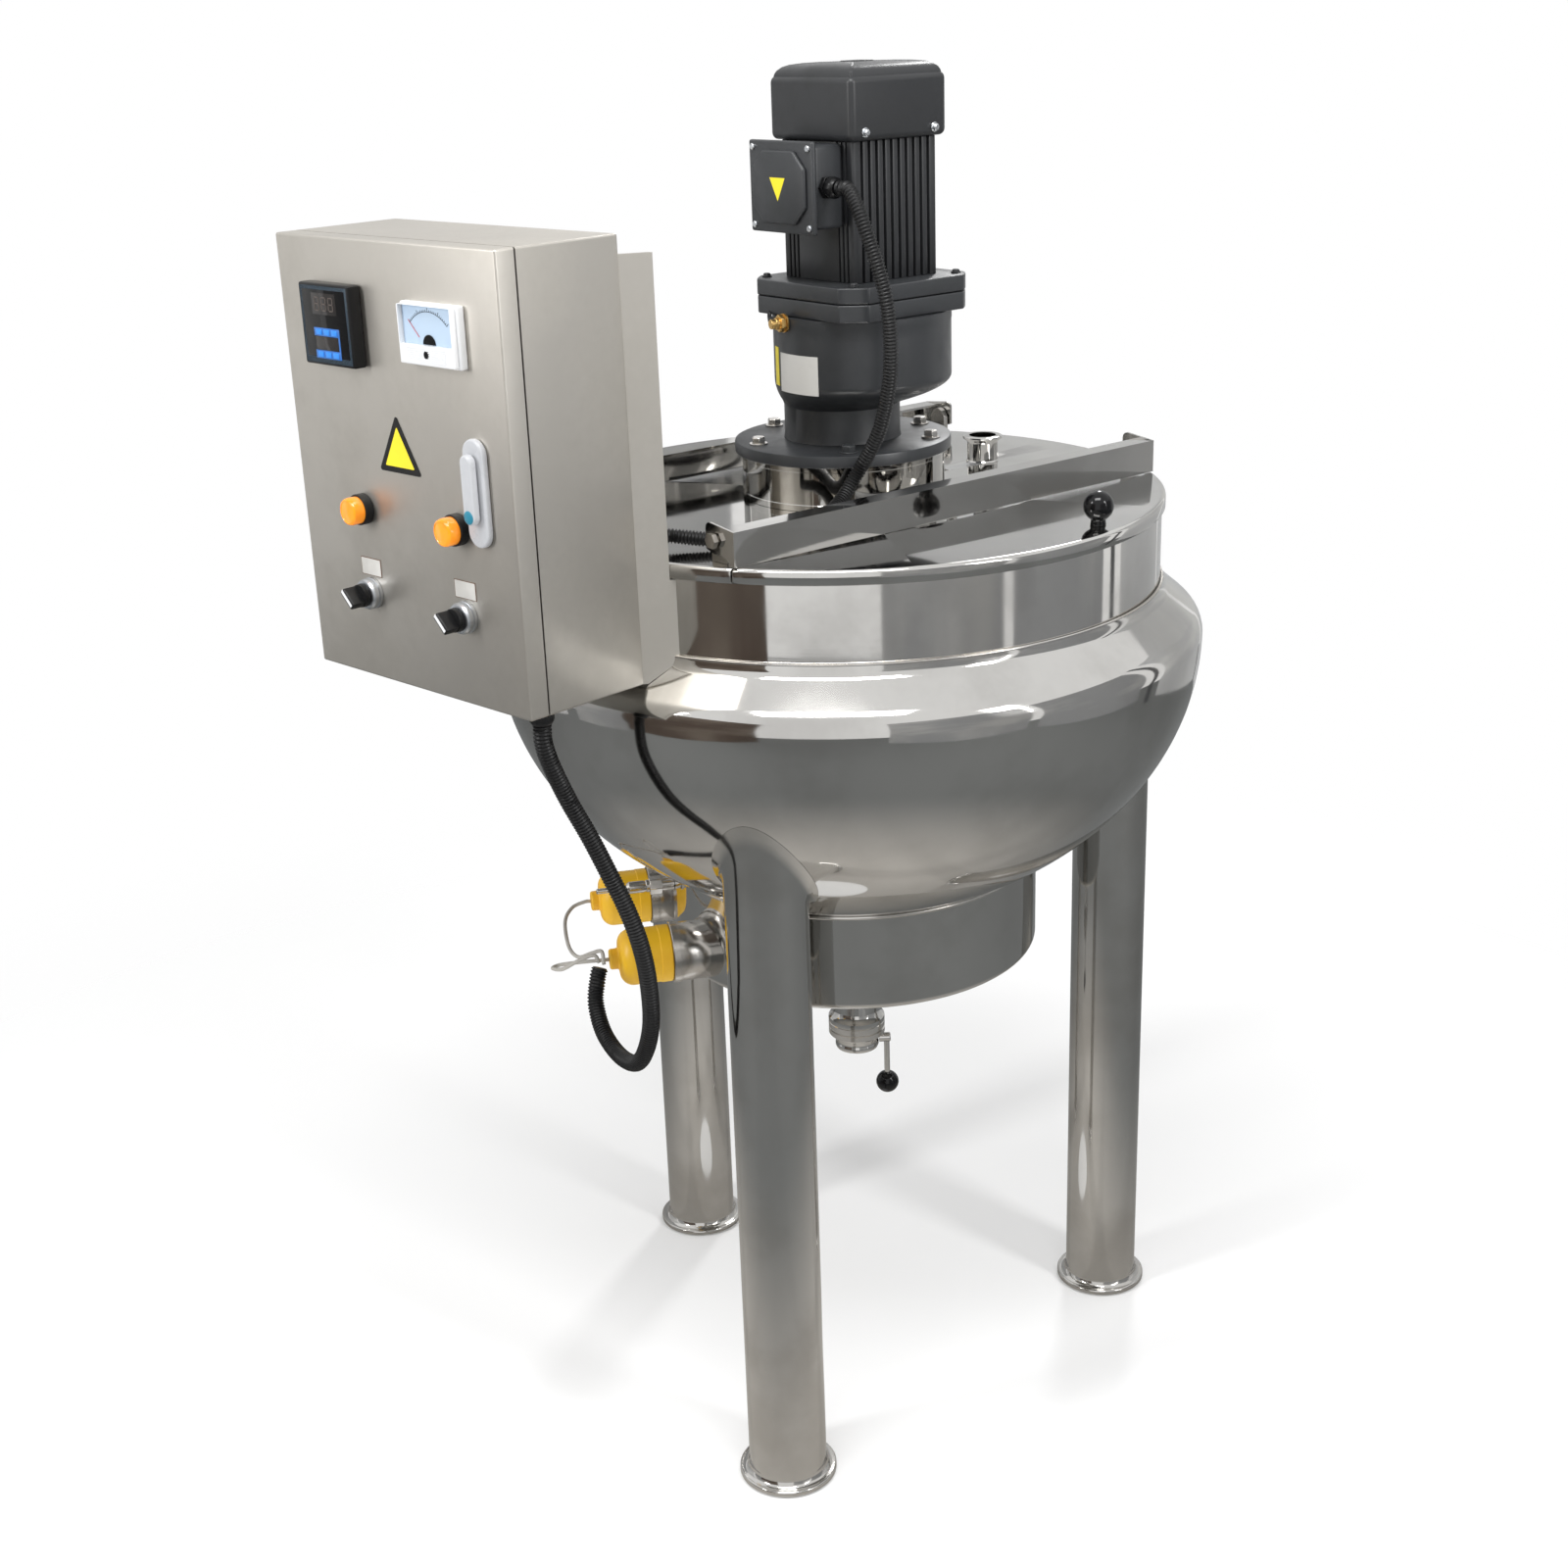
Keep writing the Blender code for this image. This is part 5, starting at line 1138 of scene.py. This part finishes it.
def makeController():
    c = controller
    x, z, w, h = c["x"], c["z"], c["w"], c["h"]
    case = block("controllerCase", (w, c["d"], h), (x, face - c["gap"] - c["d"] / 2, z), 0.0022, 3)
    rear = block("controllerRear", (w - 0.020, c["rear"], h - 0.010), (x, face + 0.020, z), 0.001, 2)
    front = c["d"] + c["gap"]
    inCabinet(joined("controllerBody", case, rear), "blackPlastic", "door", "temperature_controller")
    onDoor("controllerFrame", (w - 0.004, h - 0.004), x, z, front - 0.0008, 0.0008, "slateFace", 0.0004)
    faceSize = (w - 0.011, h - 0.013)
    onDoor("controllerFace", faceSize, x, z + 0.001, front - 0.0005, 0.0007, "glossBlack", 0.0003)
    readoutZ = z + c["readout"]
    onDoor("readoutWindow", (0.036, 0.019), x, readoutZ, front, 0.0004, "windowDark", 0.0001)
    bars = []
    for i in range(c["digits"]):
        bars += segmentDigit(x + c["digitPitch"] * (i - 1), readoutZ, front + 0.0005)
    inCabinet(joined("readoutDigits", *bars), "segmentGrey", "door")
    for row, drop in c["rows"].items():
        onDoor(f"{row}Strip", (0.038, 0.0074), x + 0.0005, z + drop, front, 0.0005, "buttonBlue", 0.0002)
    middleZ = z - 0.0165
    onDoor("sideStrip", (0.0022, 0.0270), x + 0.0185, middleZ, front, 0.0004, "buttonBlue", 0.0001)
    onDoor("smallWindow", (0.0340, 0.0118), x, middleZ, front, 0.0004, "windowDark", 0.0001)
    for i in range(c["keys"]):
        keyX = x + c["keyFrom"] + c["keyPitch"] * i
        for row, drop in c["rows"].items():
            name = f"{row}Button_{i + 1}"
            onDoor(name, (0.0084, 0.0050), keyX, z + drop, front + 0.0004, 0.0007, "keyBright", 0.0003)


meter = {
    "x": 0.0725, "z": 0.334, "w": 0.079, "h": 0.054, "dialUp": 0.155, "pivot": -0.016,
    "reach": 0.036, "from": 45, "sweep": 90, "ticks": 24, "printed": 0.0093, "line": 0.0004,
    "needle": 0.0200, "needleTurn": -44, "ribs": 7, "ribPitch": 0.0018,
}


def printed(name, size, up, turn, lift):
    # a mark as if printed on the dial, turned round the needle's pivot
    mark = block(name, (size[0], 0.0002, size[1]), (0, 0, up))
    pivot = Matrix.Translation((meter["x"], face - lift, meter["z"] + meter["pivot"]))
    mark.data.transform(pivot @ Matrix.Rotation(turn, 4, "Y"))
    return mark


def makeMeter():
    x, z, w, h = meter["x"], meter["z"], meter["w"], meter["h"]
    dialZ = z + h * meter["dialUp"]
    rear = block("meterRear", (w - 0.020, 0.045, h - 0.010), (x, face + 0.020, z), 0.001, 2)
    case = block("meterCase", (w, 0.0085, h), (x, face - 0.0003 - 0.00425, z), 0.0018, 3)
    rim = block("meterRim", (w - 0.003, 0.0052, h - 0.003), (x, face - 0.0114, z), 0.0016, 3)
    boolean(rim, block("cutter", (w - 0.0075, 0.05, h * 0.62), (x, face - 0.0338, dialZ)), "DIFFERENCE")
    inCabinet(joined("meterBody", rear, case, rim), "whitePlastic", "door", "voltmeter")
    onDoor("meterDial", (w - 0.0080, h * 0.615), x, dialZ, 0.0086, 0.0006, "dialWhite", 0.0)
    line, count, lift = meter["line"], meter["ticks"], meter["printed"]
    step = math.radians(meter["sweep"] / count)
    first = math.pi / 2 - math.radians(meter["from"])
    marks = []
    for i in range(count + 1):
        long = 0.0034 if i % 6 == 0 else 0.0018
        marks.append(printed("tick", (line, long), meter["reach"] + long / 2, first - step * i, lift))
    for i in range(count):
        size = (meter["reach"] * step * 1.1, line)
        marks.append(printed("link", size, meter["reach"], first - step * (i + 0.5), lift))
    inCabinet(joined("meterScale", *marks), "blackPlastic", "door")
    hub = plateOutline("meterHub", arc(x, 0, 0.0085, 0, 180, 16), (0, face - lift, z - 0.0078), 0.0006)
    inCabinet(hub, "glossBlack", "door")
    turn = math.radians(meter["needleTurn"])
    needle = printed("meterNeedle", (0.0005, meter["needle"]), 0.0290, turn, lift + 0.0005)
    inCabinet(needle, "scaleRed", "door")
    ribs = []
    for i in range(meter["ribs"]):
        spot = (x, face - 0.01425, z - 0.0105 - meter["ribPitch"] * i)
        ribs.append(block("rib", (w - 0.026, 0.0005, 0.0009), spot))
    inCabinet(joined("meterRibs", *ribs), "whitePlastic", "door")
    shape = [(0.0037, 0), (0.0037, 0.0004), (0.0031, 0.0008)]
    screw = lathe("meterScrew", shape, 32, at=(x, face - 0.0138, z - 0.0160), aim=(0, -1, 0))
    inCabinet(screw, "glossBlack", "door")


makeController()
makeMeter()

switches = {
    "left": -0.0605, "right": 0.0790, "lampZ": 0.1645, "knobZ": 0.084, "turn": 45, "plateZ": 0.1088,
    "plateX": 0.0005, "rear": [(0.0108, -0.029), (0.0108, 0.001)],
    "collar": [(0.0140, 0.0003), (0.0144, 0.0009), (0.0144, 0.0087), (0.0138, 0.0093)],
    "lens": [(0.0126, 0.0088), (0.0128, 0.0096), (0.0128, 0.0178), (0.0120, 0.0198), (0.0104, 0.0206),
             (0.0100, 0.0200), (0.0070, 0.0203), (0.0030, 0.0206), (0.0006, 0.0207)],
    "bezel": [(0.0148, 0.0003), (0.0148, 0.0030), (0.0136, 0.0036), (0.0136, 0.0042), (0.0146, 0.0048),
              (0.0146, 0.0084), (0.0134, 0.0108), (0.0118, 0.0112)],
    "knob": [(0.0110, 0.0118), (0.0112, 0.0126), (0.0108, 0.0172)],
}


def onFace(name, shape, sides, at, angle=32):
    # a turned piece that stands out from the door
    return lathe(name, switches[shape], sides, at=at, aim=(0, -1, 0), angle=angle)


def makeLamp(side):
    at = (switches[side], face, switches["lampZ"])
    collar = onFace(f"lampCollar_{side}", "collar", 48, at, 18)
    collar = joined(f"lampCollar_{side}", collar, onFace("rearTube", "rear", 32, at))
    inCabinet(collar, "blackPlastic", "door")
    inCabinet(onFace(f"lampLens_{side}", "lens", 48, at, 25), "amberPlastic", "door", f"lamp_{side}")


def makeSwitch(side):
    x, z = switches[side], switches["knobZ"]
    at = (x, face, z)
    tilt = Matrix.Rotation(math.radians(switches["turn"]), 4, "Y")
    tilted = Matrix.Translation((x, 0, z)) @ tilt @ Matrix.Translation((-x, 0, -z))
    bezel = onFace(f"switchBezel_{side}Ring", "bezel", 48, at, 25)
    bezel = joined(f"switchBezel_{side}", bezel, onFace("rearTube", "rear", 32, at))
    inCabinet(bezel, "zincPlate", "door", f"switch_bezel_{side}")
    base = onFace("knobBase", "knob", 48, at)
    grip = block("knobGrip", (0.0204, 0.0165, 0.0074), (x, face - 0.0146 - 0.00825, z), 0.0014, 3)
    grip.data.transform(tilted)
    handle = joined(f"switchHandle_{side}", base, grip)
    inCabinet(handle, "blackPlastic", f"{side}_switch", f"switch_knob_{side}")
    mark = block(f"switchMark_{side}", (0.0006, 0.0168, 0.0022), (x - 0.0101, face - 0.0224, z))
    edge = block("markEnd", (0.0184, 0.0003, 0.0034), (x - 0.0006, face - 0.03105, z))
    mark = joined(f"switchMark_{side}", mark, edge)
    mark.data.transform(tilted)
    inCabinet(mark, "whitePlastic", f"{side}_switch")
    plateX, plateZ = x + switches["plateX"], switches["plateZ"]
    border = block(f"namePlateEdge_{side}", (0.030, 0.0003, 0.0170), (plateX, face - 0.00025, plateZ))
    inCabinet(border, "labelBrown", "door")
    plate = block(f"namePlate_{side}", (0.0286, 0.0003, 0.0156), (plateX, face - 0.00040, plateZ))
    inCabinet(plate, "labelSilver", "door")


for side in ("left", "right"):
    makeLamp(side)
    makeSwitch(side)

lock = {
    "x": 0.1135, "z": 0.201, "plate": (0.028, 0.096), "handle": (0.015, 0.062), "handleUp": 0.0045,
    "key": [(0.0060, 0), (0.0060, 0.0005), (0.0054, 0.0008)], "keyDown": 0.0190,
}


def ovalOutline(width, height, count=14):
    radius = width / 2
    reach = height / 2 - radius
    return arc(0, reach, radius, 0, 180, count) + arc(0, -reach, radius, 180, 360, count)


def makeLock():
    x, z = lock["x"], lock["z"]
    plate = plateOutline("lockPlate", ovalOutline(*lock["plate"]), (x, face - 0.0003, z), 0.0066, 0.0022, 4)
    inCabinet(plate, "lockSilver", "door", "lock_plate")
    at = (x, face - 0.0082, z + lock["handleUp"])
    handle = plateOutline("lockHandle", ovalOutline(*lock["handle"]), at, 0.0076, 0.0022, 4)
    inCabinet(handle, "lockSilver", "lock", "lock_lever")
    at = (x, face - 0.0156, z - lock["keyDown"])
    inCabinet(lathe("lockKey", lock["key"], 40, at=at, aim=(0, -1, 0)), "keyBlue", "lock")


makeLock()

# corners, how round they are, thickness and finish of the two plates of the triangle
triangle = {
    "at": (0.0005, face - 0.0001, 0.2305),
    "markBorder": ([(-0.031, -0.026), (0.031, -0.026), (0, 0.027)], 0.0022, 0.0003, "blackPlastic"),
    "markFace": ([(-0.0212, -0.0205), (0.0212, -0.0205), (0, 0.0160)], 0.0008, 0.0005, "labelYellow"),
}


def softCorners(outline, radius, count=6):
    # the same outline with its corners turned to small arcs
    points = []
    for i, corner in enumerate(outline):
        here = Vector(corner)
        before, after = Vector(outline[i - 1]), Vector(outline[(i + 1) % len(outline)])
        first, last = (here - before).normalized(), (after - here).normalized()
        bend = abs(first.angle_signed(last))
        centre = here - first * radius * math.tan(bend / 2) + Vector((-first.y, first.x)) * radius
        begin = math.degrees(math.atan2(-first.x, first.y))
        points += arc(centre.x, centre.y, radius, begin, begin + math.degrees(bend), count)
    return points


for name in ("markBorder", "markFace"):
    corners, radius, thickness, finish = triangle[name]
    plate = plateOutline(name, softCorners(corners, radius), triangle["at"], thickness)
    inCabinet(plate, finish, "door")
print("cabinet made")

# studio

studio = {
    "floorSize": 14.0, "floor": 0.88, "fadeFrom": 0.75, "fadeTo": 2.0, "ambient": 0.62,
    "flagDistance": 2.35, "groundCloth": (0.10, 3.2), "groundFade": 1.05,
    # angle round the kettle, width, height and cloth
    "flags": ((-90, 2.1, 2.1, "brown"), (-6.5, 1.8, 2.1, "grey"), (38, 1.7, 2.1, "grey"),
              (63, 0.10, 2.1, "dark"), (86, 1.5, 2.1, "pale"), (123, 1.5, 2.1, "pale"),
              (163, 1.6, 2.3, "grey"), (205, 1.6, 2.3, "pale"), (240, 0.9, 2.1, "grey")),
    # the two colours of each cloth
    "cloths": {"brown": ((0.070, 0.050, 0.038), (0.13, 0.105, 0.085)),
               "grey": ((0.25, 0.255, 0.26), (0.36, 0.36, 0.355)),
               "dark": ((0.06, 0.062, 0.065), (0.09, 0.09, 0.09)),
               "pale": ((0.44, 0.445, 0.45), (0.56, 0.56, 0.55))},
    # place, what it points at, size and power
    "lamps": {"leftPanel": ((-0.6, -3.0, 2.2), (0, 0, 0.9), (0.5, 1.8), 46),
              "rightPanel": ((3.0, 0.6, 2.2), (0, 0, 0.8), (0.5, 1.8), 40),
              "overhead": ((0.8, -0.8, 3.2), (0, 0, 0.9), (1.6, 0.7), 46),
              "backStrip": ((-1.6, 2.4, 2.4), (0, 0, 0.9), (0.4, 1.6), 28)},
}


def seenRays(tree):
    # 1 for the rays that look at something: camera, mirror and glass
    rays = newNode(tree, "LightPath")
    first = newNode(tree, "Math", operation="ADD")
    second = newNode(tree, "Math", operation="ADD", use_clamp=True)
    wire(tree, (rays, "Is Camera Ray", first, 0), (rays, "Is Glossy Ray", first, 1),
         (first, "Value", second, 0), (rays, "Is Transmission Ray", second, 1))
    return second


def fadeOut(tree, start, end):
    # from 0 near the kettle's foot to 1 farther out
    coords = newNode(tree, "TexCoord")
    distance = newNode(tree, "VectorMath", operation="LENGTH")
    fade = newNode(tree, "MapRange", {"From Min": start, "From Max": end}, interpolation_type="SMOOTHSTEP")
    wire(tree, (coords, "Object", distance, 0), (distance, "Value", fade, "Value"))
    return fade


def makeFloor():
    deselectAll()
    bpy.ops.mesh.primitive_plane_add(size=studio["floorSize"], location=(0, 0, -0.0005))
    floor = bpy.context.object
    floor.name = "studioFloor"
    material, tree, shader = newMaterial("studioFloor", (studio["floor"],) * 3, 0.85)
    floor.data.materials.append(material)
    clear = newNode(tree, "BsdfTransparent")
    mix = newNode(tree, "MixShader")
    only = newNode(tree, "Math", operation="MULTIPLY")
    wire(tree, (fadeOut(tree, studio["fadeFrom"], studio["fadeTo"]), "Result", only, 0),
         (seenRays(tree), "Value", only, 1), (only, "Value", mix, "Fac"), (shader, "BSDF", mix, 1),
         (clear, "BSDF", mix, 2), (mix, "Shader", tree.nodes["Material Output"], "Surface"))


def makeWorld():
    world = bpy.data.worlds.new("studioWorld")
    bpy.context.scene.world = world
    world.use_nodes = True
    tree = world.node_tree
    background = tree.nodes["Background"]
    mix = newNode(tree, "Mix", {"A": (studio["ambient"],) * 3 + (1,), "B": (1, 1, 1, 1)}, data_type="RGBA")
    wire(tree, (seenRays(tree), "Value", mix, "Factor"), (mix, "Result", background, "Color"))
    background.inputs["Strength"].default_value = 1.0


def clothMaterial(name, dark, light):
    material, tree, shader = newMaterial(name, dark, 0.9)
    tinted(tree, addGroup(tree, filmGroup, Scale=0.8), "Mask", shader, dark, light)
    return material


def groundMaterial():
    # pale under the kettle and grey farther out, so the dish shows a soft change
    material, tree, shader = newMaterial("groundCloth", (0.2, 0.2, 0.2), 0.9)
    fade = fadeOut(tree, studio["groundCloth"][0], studio["groundFade"])
    tinted(tree, fade, "Result", shader, (0.46, 0.44, 0.41), (0.14, 0.145, 0.145))
    return material


def hangCloth(piece, material):
    # only mirror rays see a cloth
    piece.data.materials.append(material)
    piece.visible_camera = piece.visible_diffuse = piece.visible_shadow = False


def makeCloths():
    # cloths round the set and on the ground, which the polished steel shows as bands
    cloths = {name: clothMaterial(name + "Cloth", *colours) for name, colours in studio["cloths"].items()}
    for number, (degrees, width, height, cloth) in enumerate(studio["flags"]):
        flag = block(f"flag_{number + 1}", (0.01, width, height), (0, 0, 0))
        place = Matrix.Translation(polar(studio["flagDistance"], degrees, height / 2))
        flag.data.transform(place @ Matrix.Rotation(math.radians(degrees), 4, "Z"))
        hangCloth(flag, cloths[cloth])
    inner, outer = studio["groundCloth"]
    outline = [(inner, 0), (outer, 0), (outer, 0.002), (inner, 0.002)]
    hangCloth(lathe("groundCloth", outline, 64, at=(0, 0, 0.002), closed=True), groundMaterial())


def areaLight(name, place, target, size, power):
    data = bpy.data.lights.new(name, "AREA")
    data.shape = "RECTANGLE"
    data.size, data.size_y = size
    data.energy = power
    lamp = bpy.data.objects.new(name, data)
    bpy.context.scene.collection.objects.link(lamp)
    lamp.location = place
    lamp.rotation_mode = "QUATERNION"
    lamp.rotation_quaternion = (Vector(target) - Vector(place)).to_track_quat("-Z", "Y")


makeFloor()
makeWorld()
makeCloths()
for name, settings in studio["lamps"].items():
    areaLight(name, *settings)
bpy.context.scene.view_settings.view_transform = "Standard"
print("studio made")
